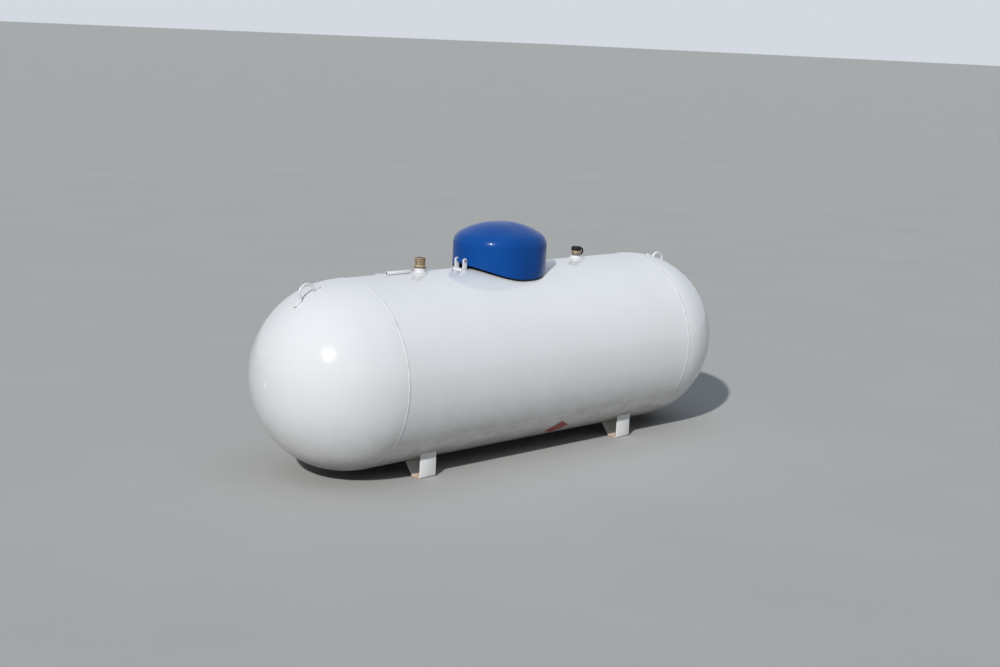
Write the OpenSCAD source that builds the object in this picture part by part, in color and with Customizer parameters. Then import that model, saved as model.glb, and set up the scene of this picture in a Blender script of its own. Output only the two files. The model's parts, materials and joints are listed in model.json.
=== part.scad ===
// Horizontal pressure tank on four bent legs, with a hinged dome over its fittings.
// +X runs along the tank, -Y is its near side, and the origin is on the ground under its centre.

/* [Vessel] */
// Outside diameter of the shell and the ends
tank_d = 950.5; // [800:0.5:1100]
// Length of the cylinder between its two girth seams
shell_l = 2037; // [1900:1:2600]
// Wall of the cylinder
shell_t = 5.5; // [4:0.1:9]
// Straight skirt between the girth seam and the round of an end
head_skirt = 15; // [2:0.5:20]
// Wall of an end
head_t = 3.6; // [2.5:0.1:8]
// Height of the lowest line of the shell above the ground
ground_clearance = 37.5; // [30:0.5:80]

/* [Weld beads] */
// Width of the bead round a girth seam
girth_bead_w = 16; // [8:0.5:24]
// Height of the bead round a girth seam
girth_bead_h = 3; // [1:0.1:5]
// Width of the bead along the shell
long_bead_w = 13; // [6:0.5:20]
// Height of the bead along the shell
long_bead_h = 1.2; // [0.8:0.1:4]
// Place of the bead along the shell, in degrees from the crest towards the near side
long_bead_at = 128; // [100:1:150]

/* [Legs] */
// Distance from a girth seam to the middle of the leg nearest to it
leg_from_seam = 297.5; // [150:0.5:500]
// Width of a leg's strip along the tank
leg_w = 101.6; // [60:0.1:160]
// Thickness of a leg's strip
leg_t = 6.35; // [4:0.05:10]
// Distance across the tank over the outer faces of the legs
leg_track = 573.4; // [460:0.1:700]
// Length of a leg's flat foot, between the corners of its bends
foot_l = 58; // [50:0.5:90]
// Lean of a leg's inner side from the upright, in degrees
inner_lean = 38; // [10:1:50]
// Radius of a leg's bends at the middle of the strip
leg_bend_r = 10; // [6:0.5:16]
// Diameter of the anchor hole in a foot
anchor_hole_d = 19; // [10:0.5:24]

/* [Lifting lugs] */
// Diameter of the bar
lug_bar_d = 12.7; // [8:0.1:16]
// Width of a loop over the end, between the middles of its two sides
lug_loop_w = 88; // [84:1:100]
// Radius of the two bends that round a loop's top, at the bar's middle
lug_loop_r = 38; // [12:0.5:38]
// Radius of the two bends between a loop and its tails, at the bar's middle
lug_foot_r = 12; // [10:0.5:16]
// Length of the tail below a loop
lug_low_tail_l = 49; // [20:1:80]
// Latitude of the left loop's middle on the end, in degrees from its seam towards the pole
left_lug_at = 30; // [20:0.5:45]
// Height of the left loop's top over the end, at the middle of the bar
left_lug_rise = 59; // [52:1:80]
// Length of the tail above the left loop
left_lug_tail_l = 36; // [20:1:60]
// Latitude of the right loop's middle on the end, in degrees from its seam towards the pole
right_lug_at = 30.5; // [20:0.5:45]
// Height of the right loop's top over the end, at the middle of the bar
right_lug_rise = 51; // [50:1:80]
// Length of the tail above the right loop
right_lug_tail_l = 50; // [20:1:70]
// Turn of the right loop about the tank towards the far side, in degrees
right_lug_turn = 3; // [0:0.5:5]

/* [Data plate] */
// Distance from the left girth seam to the bracket's middle
bracket_from_seam = 309; // [120:0.5:340]
// Distance of the bracket's rolled edge behind the crest line, along the shell
roll_at = 7; // [0:0.5:20]
// Length of the bracket
bracket_l = 152; // [100:1:200]
// Distance from the rolled edge's middle to the bracket's rear edge, along the shell
bracket_w = 90; // [60:1:120]
// Thickness of the bracket's sheet
bracket_t = 3.2; // [1.5:0.1:4]
// Diameter of the bracket's rolled edge
roll_d = 18; // [14:0.2:20]
// Rim of the bracket left bare round the plate
plate_rim = 10; // [5:1:20]
// Thickness of the data plate
plate_t = 1.5; // [0.8:0.1:3]

/* [Dome lid] */
// Radius of the lid's round ends in plan
lid_r = 232.7; // [200:0.1:250]
// Length of the straight stretch between the lid's round ends
lid_straight = 42.8; // [20:0.1:120]
// Distance of the lid's middle from the tank's middle, to the left
lid_x = 23.3; // [0:0.1:60]
// Height of the lid's upright wall over the crest
lid_wall_h = 109.5; // [90:0.5:160]
// Radius of the lid's shoulder
lid_shoulder_r = 57.6; // [40:0.1:75]
// Radius of the lid's crown
lid_crown_r = 320; // [290:1:420]
// Thickness of the lid's sheet
lid_t = 2.5; // [1.5:0.1:4]
// Gap between the lid's rim and the shell, at the lid's right end
lid_gap = 12; // [5:0.5:12]
// Slope of the lid's rim up towards the hinge, in degrees
rim_slope = 1; // [0:0.1:1]

/* [Hinge] */
// Distance from the lid's left end to the middle of the hinge pin
pin_reach = 20; // [19:0.5:28]
// Height of the pin's middle over the crest
pin_h = 45; // [36:0.5:60]
// Diameter of the pin
pin_d = 10; // [8:0.5:12]
// Clearance between the pin and each hole it runs in, on the radius
pin_clearance = 0.05; // [0.02:0.01:0.1]
// Width of an ear of the bracket
ear_w = 27; // [22:0.5:28]
// Thickness of the bracket's strip
ear_t = 5; // [3:0.5:8]
// Distance over the outer faces of the two ears
bracket_span = 67; // [60:1:80]
// Length of the bracket's foot to the left of the ears' middle
hinge_foot_l = 26; // [16:1:40]
// Gap between the knuckle and each ear
knuckle_gap = 6; // [5:0.5:10]
// Wall of the knuckle round its pin hole
knuckle_t = 4.5; // [3:0.5:6]
// Thickness of the leaf between the knuckle and the lid
leaf_t = 4; // [3:0.5:6]
// Height of the leaf's pad on the lid
pad_h = 44; // [30:1:46]

/* [Hasp] */
// Height of the hasp's underside over the crest
hasp_h = 24; // [15:1:40]
// Thickness of the hasp
hasp_t = 4; // [3:0.5:6]
// Width of the hasp across the tank
hasp_w = 44; // [36:1:60]
// Height of the flange that joins the hasp to the lid
hasp_flange_h = 34; // [20:1:50]
// Distance from the lid's right end to the middle of the staple
staple_reach = 36; // [30:1:50]
// Length of the staple along the tank
staple_l = 28; // [20:1:34]
// Thickness of the staple
staple_t = 6; // [4:0.5:8]
// Height of the staple over the crest
staple_h = 58; // [50:1:80]
// Diameter of the lock hole in the staple
lock_hole_d = 11; // [6:0.5:14]
// Clearance round the staple in the hasp's slot
slot_clearance = 6; // [5:0.5:8]

/* [Liquid valve] */
// Distance from the left girth seam to the liquid valve
liquid_from_seam = 443.5; // [440:0.5:540]
// Diameter of the weld at the coupling's foot
liquid_weld_d = 85; // [75:1:110]
// Diameter of the coupling
liquid_coupling_d = 57; // [50:0.5:64]
// Height of the coupling over the crest
liquid_coupling_h = 24; // [16:0.5:40]
// Width of the body's hexagon across its corners
liquid_hex_d = 65; // [58:0.5:72]
// Height of the body's hexagon
liquid_hex_h = 16; // [10:0.5:24]
// Diameter of the body's neck
liquid_neck_d = 50; // [44:0.5:54]
// Height of the body's neck
liquid_neck_h = 5; // [3:0.5:10]
// Diameter of the cap
liquid_cap_d = 54; // [48:0.5:64]
// Height of the cap
liquid_cap_h = 32; // [20:0.5:50]

/* [Relief valve] */
// Distance from the right girth seam to the relief valve
relief_from_seam = 454.5; // [100:0.5:540]
// Diameter of the weld at the coupling's foot
relief_weld_d = 95; // [80:1:110]
// Diameter of the coupling
relief_coupling_d = 60; // [54:0.5:66]
// Height of the coupling over the crest
relief_coupling_h = 18; // [14:0.5:40]
// Diameter of the body's groove
relief_groove_d = 46; // [42:0.5:50]
// Height of the body's groove
relief_groove_h = 7.5; // [6.5:0.5:10]
// Diameter of the body
relief_body_d = 54; // [50:0.5:60]
// Height of the body over its groove
relief_body_h = 19.5; // [12:0.5:24]
// Diameter of the rain cap
relief_cap_d = 56; // [50:0.5:66]
// Height of the rain cap
relief_cap_h = 21; // [12:0.5:30]
// Reach of the cap's strap beyond the cap
strap_reach = 25; // [20:0.5:40]
// Width of the cap's strap
strap_w = 9; // [5:0.5:16]
// Thickness of the cap's strap
strap_t = 4.5; // [3:0.1:5]

/* [Fittings under the lid] */
// Height of every coupling under the lid, over the crest
inner_coupling_h = 22; // [16:0.5:30]
// Diameter of the float gauge's coupling
gauge_coupling_d = 62; // [56:1:80]
// Diameter of the float gauge's flange
gauge_flange_d = 84; // [76:1:100]
// Thickness of the float gauge's flange
gauge_flange_h = 14; // [8:0.5:20]
// Diameter of the float gauge's dial
dial_d = 54; // [44:1:64]
// Thickness of the float gauge's dial
dial_h = 12; // [8:0.5:20]
// Diameter of the couplings of the other fittings
fitting_coupling_d = 52; // [48:1:60]
// Width of a fitting's hexagon across its corners
fitting_hex_d = 58; // [52:1:66]
// Height of a fitting's hexagon
fitting_hex_h = 16; // [10:0.5:24]
// Diameter of a fitting's neck
fitting_neck_d = 40; // [34:1:46]
// Height of a fitting's neck
fitting_neck_h = 9; // [5:0.5:16]
// Diameter of a screwed cap
screw_cap_d = 56; // [48:1:64]
// Height of a screwed cap
screw_cap_h = 36; // [24:1:50]
// Diameter of the service valve's handwheel
handwheel_d = 62; // [50:1:80]
// Height of the service valve's handwheel over its body
stem_h = 12; // [6:1:24]
// Diameter of the service valve's stem
stem_d = 11; // [8:0.5:14]
// Diameter of the service valve's bonnet
bonnet_d = 34; // [30:1:38]
// Height of the service valve's block
block_h = 44; // [38:1:60]
// Diameter of the service valve's side outlet
outlet_d = 30; // [24:0.5:36]
// Length of the service valve's side outlet from its middle
outlet_l = 44; // [34:1:60]

/* [Hidden] */

// Smoothness of the fittings, of the vessel and of the round that pieces on it are cut to
$fn = 64;
vessel_fn = 180;
seat_fn = 720;

// Gap that a piece keeps from the round surface it is welded or screwed to
seat_gap = 0.2;
// Gap between the data plate bracket's sheet and the shell, behind its rolled edge
sheet_gap = 0.6;
// Length by which a cutting solid runs past what it cuts
past = 1;

tank_r = tank_d / 2;
axis_z = tank_r + ground_clearance;
crest_z = axis_z + tank_r;
seam_x = shell_l / 2;
head_x = seam_x + head_skirt;
leg_x = seam_x - leg_from_seam;
bracket_x = seam_x - bracket_from_seam;
liquid_x = seam_x - liquid_from_seam;
relief_x = seam_x - relief_from_seam;
white = [0.90, 0.91, 0.92];
brass = [0.62, 0.50, 0.30];

lid_left = lid_x + lid_straight / 2 + lid_r;
lid_right = lid_straight / 2 + lid_r - lid_x;
pin_x = -(lid_left + pin_reach);
staple_x = lid_right + staple_reach;
ear_r = ear_w / 2;
ear_inside = bracket_span / 2 - ear_t;
knuckle_r = pin_d / 2 + pin_clearance + knuckle_t;
knuckle_w = 2 * (ear_inside - knuckle_gap);
pin_hole_r = pin_d / 2 + pin_clearance;

// Places of the fittings under the lid, along and across the tank
gauge_at = [-20, 0];
fill_at = [78, -62];
service_at = [-115, 55];
vapor_at = [88, 62];
// Wall of a coupling round its bore
coupling_wall = 9;
// Clearance between a coupling's bore and the spigot screwed into it
thread_gap = 0.1;
// Width of the concave weld round a fitting's coupling
fitting_weld_w = 12;
// Height of a weld at its outer edge
weld_toe_h = 1.2;
// Bevel round a coupling's rim
rim_bevel = 1.5;

// Unit vector along v
function unit(v) = v / norm(v);

// Vector v turned a quarter turn to the left
function left_of(v) = [-v.y, v.x];

// Vector v turned by an angle
function turned(v, angle) = [v.x * cos(angle) - v.y * sin(angle), v.x * sin(angle) + v.y * cos(angle)];

// Angle from direction u to direction v, positive to the left
function turn_between(u, v) = atan2(u.x * v.y - u.y * v.x, u * v);

// Turn of a path at its point i
function turn_at(path, i) = turn_between(path[i] - path[i - 1], path[i + 1] - path[i]);

// Length that the bend at point i takes from each of its two straight runs
function bend_cut(path, i, r) =
    i == 0 || i == len(path) - 1 ? 0 : r * tan(abs(turn_at(path, i)) / 2);

// Middle of the bend at point i
function bend_middle(path, i, r) =
    let (u = unit(path[i] - path[i - 1]), side = sign(turn_at(path, i)))
    path[i] - u * bend_cut(path, i, r) + side * r * left_of(u);

// Points of an arc
function arc(middle, r, from, to, steps) =
    [for (i = [0 : steps]) let (a = from + (to - from) * i / steps) middle + r * [cos(a), sin(a)]];

// Points of a bend, at a distance to the left of the path
function bend_points(path, i, r, offset, steps) =
    let (u = unit(path[i] - path[i - 1]), turn = turn_at(path, i), side = sign(turn))
    [for (k = [0 : steps])
        bend_middle(path, i, r) + (r - side * offset) * turned(-side * left_of(u), turn * k / steps)];

// One side of a strip that follows a path, at a distance to its left
function strip_side(path, r, offset, steps) = [
    for (i = [0 : len(path) - 1])
        each i == 0 ? [path[0] + offset * left_of(unit(path[1] - path[0]))]
            : i == len(path) - 1 ? [path[i] + offset * left_of(unit(path[i] - path[i - 1]))]
            : bend_points(path, i, r, offset, steps)
];

// Section of a strip of even thickness, bent at each corner of a path
module strip(path, thickness, bend_r, steps = 6) {
    left_side = strip_side(path, bend_r, thickness / 2, steps);
    right_side = strip_side(path, bend_r, -thickness / 2, steps);
    polygon(concat(left_side, [for (i = [len(right_side) - 1 : -1 : 0]) right_side[i]]));
}

// Extrudes a section drawn in Y and Z evenly to both sides along X
module along_x(length) {
    rotate([90, 0, 90])
        linear_extrude(length, center = true)
            children();
}

// Extrudes a section drawn in X and Z evenly to both sides along Y
module along_y(length) {
    rotate([90, 0, 0])
        linear_extrude(length, center = true)
            children();
}

// Places along a path's middle line, each with its direction there
function path_stations(path, bends, steps) = [
    for (i = [0 : len(path) - 1])
        each i == 0 ? [[path[0], unit(path[1] - path[0])]]
            : i == len(path) - 1 ? [[path[i], unit(path[i] - path[i - 1])]]
            : let (points = bend_points(path, i, bends[i - 1], 0, steps), u = unit(path[i] - path[i - 1]))
                [for (k = [0 : steps]) [points[k], turned(u, turn_at(path, i) * k / steps)]]
];

// A round bar in the XY plane that follows a path, bent to a radius at each of its corners
module bent_bar(path, bar_r, bends, sides = 20, steps = 9) {
    stations = path_stations(path, bends, steps);
    last = len(stations) - 1;
    rings = [
        for (station = stations)
            let (place = station[0], across = left_of(station[1]))
            for (k = [0 : sides - 1])
                let (a = 360 * k / sides, side = bar_r * cos(a) * across)
                [place.x + side.x, place.y + side.y, bar_r * sin(a)]
    ];
    walls = [
        for (j = [0 : last - 1], k = [0 : sides - 1])
            let (next = (k + 1) % sides)
            [j * sides + k, j * sides + next, (j + 1) * sides + next, (j + 1) * sides + k]
    ];
    start_cap = [for (k = [sides - 1 : -1 : 0]) k];
    end_cap = [for (k = [0 : sides - 1]) last * sides + k];
    polyhedron(rings, concat(walls, [start_cap, end_cap]), convexity = 4);
}

// A solid cylinder along the tank, as large as its outside plus a gap
module tank_round(gap, length) {
    translate([0, 0, axis_z])
        rotate([0, 90, 0])
            cylinder(r = tank_r + gap, h = length, center = true, $fn = seat_fn);
}

// Places its children on the shell, square to it, at a distance from the crest line
module on_shell(x, y = 0) {
    translate([x, 0, axis_z])
        rotate([-asin(y / tank_r), 0, 0])
            translate([0, 0, tank_r])
                children();
}

// Places its children on the shell, where they are cut to its round
module welded_on_shell(x, y = 0) {
    difference() {
        on_shell(x, y)
            children();
        tank_round(seat_gap, shell_l);
    }
}

// Angle that a length spans on a round of radius r, in degrees
function degrees_round(length, r) = length / r * 180 / PI;

// Depth of the shell's round below the crest at a distance y from the crest line
function crest_drop(y) = tank_r - sqrt(tank_r * tank_r - y * y);

// Radius of a weld bead's round, from its width and height
function bead_r(width, height) = (width * width / 4 + height * height) / (2 * height);

// A low weld bead's section: what of a circle stands over a base line through the origin
module bead_section(width, height) {
    intersection() {
        translate([height - bead_r(width, height), 0])
            circle(r = bead_r(width, height));
        translate([0, -width])
            square([height + past, 2 * width]);
    }
}

// A threaded coupling with a concave weld round its foot, cut to the shell
module coupling(x, y, outer_d, weld_w, height) {
    r = outer_d / 2;
    foot = -crest_drop(r + weld_w) - past;
    weld_curve = [for (a = [0 : 15 : 90]) [
        r + weld_w * (1 - sin(a)),
        weld_toe_h + weld_w * 0.7 * (1 - cos(a))
    ]];
    welded_on_shell(x, y)
        rotate_extrude()
            polygon(concat(
                [[r - coupling_wall, foot], [r + weld_w, foot]],
                weld_curve,
                [[r, height - rim_bevel], [r - rim_bevel, height], [r - coupling_wall, height]]
            ));
}

// Radius of the spigot that goes into a coupling of a given diameter
function spigot_r(coupling_d) = coupling_d / 2 - coupling_wall - thread_gap;

// A hexagon with its corners turned off above and below
module hexagon(across_corners, height) {
    bevel = across_corners * 0.067;
    intersection() {
        cylinder(d = across_corners, h = height, $fn = 6);
        rotate_extrude()
            polygon([
                [0, 0],
                [across_corners / 2 - bevel, 0],
                [across_corners / 2, bevel * 0.58],
                [across_corners / 2, height - bevel * 0.58],
                [across_corners / 2 - bevel, height],
                [0, height]
            ]);
    }
}

// A turned cap with rings cut round it and a domed top
module ringed_cap(diameter, height, rings, ring_depth = 1.5) {
    r = diameter / 2;
    edge = 2;
    pitch = (height - 2 * edge) / (rings + 0.5);
    side = [for (i = [0 : rings - 1]) let (z = edge + pitch * (i + 0.5))
        each [[r, z], [r - ring_depth, z + pitch * 0.1],
            [r - ring_depth, z + pitch * 0.4], [r, z + pitch * 0.5]]];
    rotate_extrude()
        polygon(concat(
            [[0, 0], [r - edge, 0], [r, edge]],
            side,
            [[r, height - edge], [r - edge, height - edge / 4], [r * 0.55, height], [0, height]]
        ));
}

module shell() {
    color(white)
        translate([0, 0, axis_z])
            rotate([0, 90, 0])
                difference() {
                    cylinder(r = tank_r, h = shell_l, center = true, $fn = vessel_fn);
                    cylinder(r = tank_r - shell_t, h = shell_l + past, center = true, $fn = vessel_fn);
                }
}

// A hemispherical end with its short skirt, open to the left
module head() {
    color(white)
        translate([seam_x, 0, axis_z])
            rotate([0, 90, 0])
                difference() {
                    union() {
                        cylinder(r = tank_r, h = head_skirt, $fn = vessel_fn);
                        translate([0, 0, head_skirt])
                            half_ball(tank_r);
                    }
                    translate([0, 0, -past])
                        cylinder(r = tank_r - head_t, h = head_skirt + past, $fn = vessel_fn);
                    translate([0, 0, head_skirt])
                        half_ball(tank_r - head_t);
                }
}

// Upper half of a ball
module half_ball(r) {
    intersection() {
        sphere(r = r, $fn = vessel_fn);
        cylinder(r = r + past, h = r + past, $fn = vessel_fn);
    }
}

module girth_weld() {
    color(white)
        translate([seam_x, 0, axis_z])
            rotate([0, 90, 0])
                rotate_extrude($fn = vessel_fn)
                    translate([tank_r + seat_gap, 0])
                        bead_section(girth_bead_w, girth_bead_h);
}

// The bead along the shell, drawn at the crest and turned to its place
module long_seam_weld() {
    base_r = tank_r + seat_gap;
    spread = asin(long_bead_w / 2 / base_r);
    round_r = bead_r(long_bead_w, tank_r + long_bead_h - base_r * cos(spread));
    rise = asin(long_bead_w / 2 / round_r);
    base = arc([0, 0], base_r, 90 - spread, 90 + spread, 4);
    crown = arc([0, tank_r + long_bead_h - round_r], round_r, 90 + rise, 90 - rise, 12);
    color(white)
        translate([0, 0, axis_z])
            rotate([long_bead_at, 0, 0])
                along_x(shell_l - girth_bead_w)
                    polygon(concat(base, [for (i = [1 : len(crown) - 2]) crown[i]]));
}

// A leg of the near side: one strip bent to an open U, its top cut to the shell
module leg(x) {
    outer_y = (leg_track - leg_t) / 2;
    top = axis_z - tank_r * 0.6;
    inner_top = top * [tan(inner_lean), 1];
    foot_y = outer_y - foot_l;
    side_path = [
        [-outer_y, top],
        [-outer_y, leg_t / 2],
        [-foot_y, leg_t / 2],
        [-foot_y + inner_top.x, leg_t / 2 + inner_top.y]
    ];
    color(white)
        translate([x, 0, 0])
            difference() {
                along_x(leg_w)
                    strip(side_path, leg_t, leg_bend_r);
                tank_round(seat_gap, shell_l);
                translate([0, -(outer_y + foot_y) / 2, -past])
                    cylinder(d = anchor_hole_d, h = leg_t + 2 * past);
            }
}

// A bar bent to a loop between two tails, seated on the right-hand end
module lifting_lug(at, rise, high_tail_l) {
    tail_l = max(lug_low_tail_l, high_tail_l);
    tail_sag = tail_l * tail_l / (8 * tank_r);
    bar_seat = tank_r + seat_gap + tail_sag + lug_bar_d / 2;
    function on_ball(u) = [bar_seat * sin(u), bar_seat * cos(u) - tank_r];
    top_x = lug_loop_w * 0.425;
    loop_angle = asin(lug_loop_w / 2 / bar_seat);
    low_angle = loop_angle + degrees_round(lug_low_tail_l, bar_seat);
    high_angle = loop_angle + degrees_round(high_tail_l, bar_seat);
    path = [
        on_ball(low_angle),
        on_ball(loop_angle),
        [top_x, rise],
        [-top_x, rise],
        on_ball(-loop_angle),
        on_ball(-high_angle)
    ];
    color(white)
        translate([head_x, 0, axis_z])
            rotate([0, at, 0])
                translate([0, 0, tank_r])
                    rotate([90, 0, 0])
                        bent_bar(path, lug_bar_d / 2, [lug_foot_r, lug_loop_r, lug_loop_r, lug_foot_r]);
}

module left_lifting_lug() {
    mirror([1, 0, 0])
        lifting_lug(left_lug_at, left_lug_rise, left_lug_tail_l);
}

module right_lifting_lug() {
    translate([0, 0, axis_z])
        rotate([-right_lug_turn, 0, 0])
            translate([0, 0, -axis_z])
                lifting_lug(right_lug_at, right_lug_rise, right_lug_tail_l);
}

// A curved sheet over the shell, from one distance behind the crest line to another
module curved_sheet(length, from, to, gap, thickness) {
    start = 90 - degrees_round(from, tank_r);
    end = 90 - degrees_round(to, tank_r);
    under_r = tank_r + gap;
    along_x(length)
        polygon(concat(
            arc([0, 0], under_r, start, end, 12),
            arc([0, 0], under_r + thickness, end, start, 12)
        ));
}

// The bracket's sheet, whose near edge is rolled to a tube
module data_plate_bracket() {
    roll_r = roll_d / 2;
    color(white)
        translate([-bracket_x, 0, axis_z])
            difference() {
                union() {
                    curved_sheet(bracket_l, roll_at, roll_at + bracket_w, sheet_gap, bracket_t);
                    on_roll()
                        cylinder(r = roll_r, h = bracket_l, center = true);
                }
                on_roll()
                    cylinder(r = roll_r - bracket_t, h = bracket_l + 2 * past, center = true);
            }
}

// Places its children on the middle line of the bracket's rolled edge
module on_roll() {
    rotate([-degrees_round(roll_at, tank_r), 0, 0])
        translate([0, 0, tank_r + seat_gap + roll_d / 2])
            rotate([0, 90, 0])
                children();
}

module data_plate() {
    near = roll_at + roll_d / 2 + plate_rim;
    color("silver")
        translate([-bracket_x, 0, axis_z])
            curved_sheet(bracket_l - 2 * plate_rim, near, roll_at + bracket_w - plate_rim,
                sheet_gap + bracket_t, plate_t);
}

module liquid_valve_coupling() {
    color(white)
        coupling(-liquid_x, 0, liquid_coupling_d, (liquid_weld_d - liquid_coupling_d) / 2,
            liquid_coupling_h);
}

module liquid_valve_body() {
    color(brass)
        translate([-liquid_x, 0, crest_z + liquid_coupling_h]) {
            hexagon(liquid_hex_d, liquid_hex_h);
            translate([0, 0, -liquid_coupling_h * 0.6])
                cylinder(r = spigot_r(liquid_coupling_d), h = liquid_coupling_h * 0.6);
            translate([0, 0, liquid_hex_h])
                cylinder(d = liquid_neck_d, h = liquid_neck_h);
        }
}

module liquid_valve_cap() {
    color(brass)
        translate([-liquid_x, 0, crest_z + liquid_coupling_h + liquid_hex_h + liquid_neck_h])
            ringed_cap(liquid_cap_d, liquid_cap_h, 3);
}

module relief_valve_coupling() {
    color(white)
        coupling(relief_x, 0, relief_coupling_d, (relief_weld_d - relief_coupling_d) / 2,
            relief_coupling_h);
}

module relief_valve_body() {
    color(brass)
        translate([relief_x, 0, crest_z + relief_coupling_h]) {
            cylinder(d = relief_groove_d, h = relief_groove_h);
            translate([0, 0, -relief_coupling_h * 0.6])
                cylinder(r = spigot_r(relief_coupling_d), h = relief_coupling_h * 0.6);
            translate([0, 0, relief_groove_h])
                cylinder(d = relief_body_d, h = relief_body_h);
        }
}

// The soft cap that keeps rain out of the relief valve
module relief_valve_cap() {
    r = relief_cap_d / 2;
    edge = 4;
    color("black")
        translate([relief_x, 0, crest_z + relief_coupling_h + relief_groove_h + relief_body_h])
            rotate_extrude()
                polygon(concat(
                    [[0, 0], [r - 1, 0], [r, 1]],
                    arc([r - edge, relief_cap_h - edge], edge, 0, 80, 5),
                    [[r * 0.6, relief_cap_h - 0.5], [r * 0.55, relief_cap_h - 2], [0, relief_cap_h - 2]]
                ));
}

// The strap that ties the cap to the valve's groove, in a half ring
module relief_cap_strap() {
    cap_z = relief_groove_h + relief_body_h;
    side_x = relief_cap_d / 2 + seat_gap;
    far_x = relief_cap_d / 2 + strap_reach - strap_t / 2;
    top = cap_z + relief_cap_h * 0.6;
    foot = relief_groove_h / 2;
    path = [
        [relief_cap_d / 4, top],
        [far_x, top],
        [far_x, foot],
        [relief_groove_d / 4, foot]
    ];
    color("black")
        translate([relief_x, 0, crest_z + relief_coupling_h])
            difference() {
                along_y(strap_w)
                    strip(path, strap_t, (top - foot) * 0.48, 10);
                translate([0, 0, cap_z])
                    cylinder(r = side_x, h = relief_cap_h);
                cylinder(r = relief_groove_d / 2 + seat_gap, h = relief_groove_h);
            }
}

// A strip bent to a U, with two round-topped ears for the hinge pin
module hinge_bracket() {
    half = (bracket_span - ear_t) / 2;
    section = [
        [-half, pin_h + ear_r],
        [-half, ear_t / 2],
        [half, ear_t / 2],
        [half, pin_h + ear_r]
    ];
    color(white)
        welded_on_shell(pin_x)
            difference() {
                intersection() {
                    union() {
                        along_x(2 * hinge_foot_l)
                            strip(section, ear_t, ear_t);
                        translate([0, 0, -ear_t / 2])
                            cube([2 * hinge_foot_l, bracket_span - 3 * ear_t, ear_t], center = true);
                    }
                    along_y(bracket_span + past) {
                        translate([-hinge_foot_l, -ear_t])
                            square([hinge_foot_l + ear_r, 2 * ear_t]);
                        translate([-ear_r, 0])
                            square([ear_w, pin_h]);
                        translate([0, pin_h])
                            circle(r = ear_r);
                    }
                }
                translate([0, 0, pin_h])
                    rotate([90, 0, 0])
                        cylinder(r = pin_hole_r, h = bracket_span + 2 * past, center = true);
            }
}

// The pin, with a low round head at each end
module hinge_pin() {
    pin_head_h = 3;
    color("silver")
        translate([pin_x, 0, crest_z + pin_h])
            rotate([90, 0, 0]) {
                cylinder(d = pin_d, h = bracket_span + 2 * seat_gap, center = true);
                for (side = [-1, 1])
                    translate([0, 0, side * (bracket_span + pin_head_h) / 2 + side * seat_gap])
                        cylinder(d = pin_d * 1.6, h = pin_head_h, center = true);
            }
}

// Outline of half the lid's section in X and Z, drawn in from its outside by an inset
function lid_outline(inset, low) =
    let (
        shoulder = [lid_r - lid_shoulder_r, lid_wall_h],
        reach = lid_crown_r - lid_shoulder_r,
        meets = acos(shoulder.x / reach),
        crown = [0, lid_wall_h - reach * sin(meets)]
    )
    concat(
        [[0, low], [lid_r - inset, low]],
        arc(shoulder, lid_shoulder_r - inset, 0, meets, 8),
        [for (p = arc(crown, lid_crown_r - inset, meets, 90, 12)) if (p.x < shoulder.x + 100) p]
    );

// The lid's full form: two round ends joined by a straight middle
module lid_form(inset, low) {
    outline = lid_outline(inset, low);
    for (side = [-1, 1])
        translate([side * lid_straight / 2, 0, 0])
            rotate(-side * 90)
                rotate_extrude(angle = 180, $fn = vessel_fn)
                    polygon(outline);
    along_x(lid_straight)
        polygon(concat(outline, [for (i = [len(outline) - 1 : -1 : 0]) [-outline[i].x, outline[i].y]]));
}

// The lid, its rim cut a little higher towards the hinge so that it clears the shell as it opens
module dome_lid() {
    low = -crest_drop(lid_r) - past;
    color("royalblue")
        difference() {
            translate([-lid_x, 0, crest_z])
                difference() {
                    lid_form(0, low);
                    lid_form(lid_t, low - past);
                }
            translate([lid_right, 0, crest_z])
                rotate([0, rim_slope, 0])
                    translate([-lid_right, 0, -crest_z])
                        tank_round(lid_gap, shell_l);
        }
}

// A solid as wide as the lid's wall and a gap, that pieces on the lid are cut to
module lid_wall_round(gap) {
    for (side = [-1, 1])
        translate([side * lid_straight / 2 - lid_x, 0, crest_z - lid_r])
            cylinder(r = lid_r + gap, h = 2 * lid_r + lid_wall_h, $fn = vessel_fn);
}

// The knuckle that turns on the pin, its leaf and the pad that joins it to the lid
module dome_hinge_knuckle() {
    pad_t = 3;
    color("royalblue")
        difference() {
            translate([pin_x, 0, crest_z + pin_h]) {
                rotate([90, 0, 0])
                    cylinder(r = knuckle_r, h = knuckle_w, center = true);
                translate([0, -knuckle_w / 2, knuckle_r - leaf_t])
                    cube([pin_reach + past, knuckle_w, leaf_t]);
                translate([pin_reach - pad_t, -knuckle_w / 2, knuckle_r - pad_h * 0.7])
                    cube([pad_t + past, knuckle_w, pad_h]);
            }
            translate([pin_x, 0, crest_z + pin_h])
                rotate([90, 0, 0])
                    cylinder(r = pin_hole_r, h = knuckle_w + past, center = true);
            lid_wall_round(seat_gap);
        }
}

// The slotted tab at the lid's right end
module dome_hasp() {
    slot_l = staple_l + 2 * slot_clearance;
    slot_w = staple_t + 2 * slot_clearance;
    hasp_l = staple_reach + slot_l / 2 + (hasp_w - slot_w) / 2;
    color("royalblue")
        difference() {
            translate([lid_right, 0, crest_z + hasp_h]) {
                translate([-past, -hasp_w / 2, 0])
                    cube([hasp_l + past, hasp_w, hasp_t]);
                translate([-past, -hasp_w / 2, 0])
                    cube([hasp_t + past, hasp_w, hasp_flange_h]);
            }
            translate([staple_x, 0, crest_z + hasp_h + hasp_t / 2])
                cube([slot_l, slot_w, hasp_t + past], center = true);
            lid_wall_round(seat_gap);
        }
}

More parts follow.
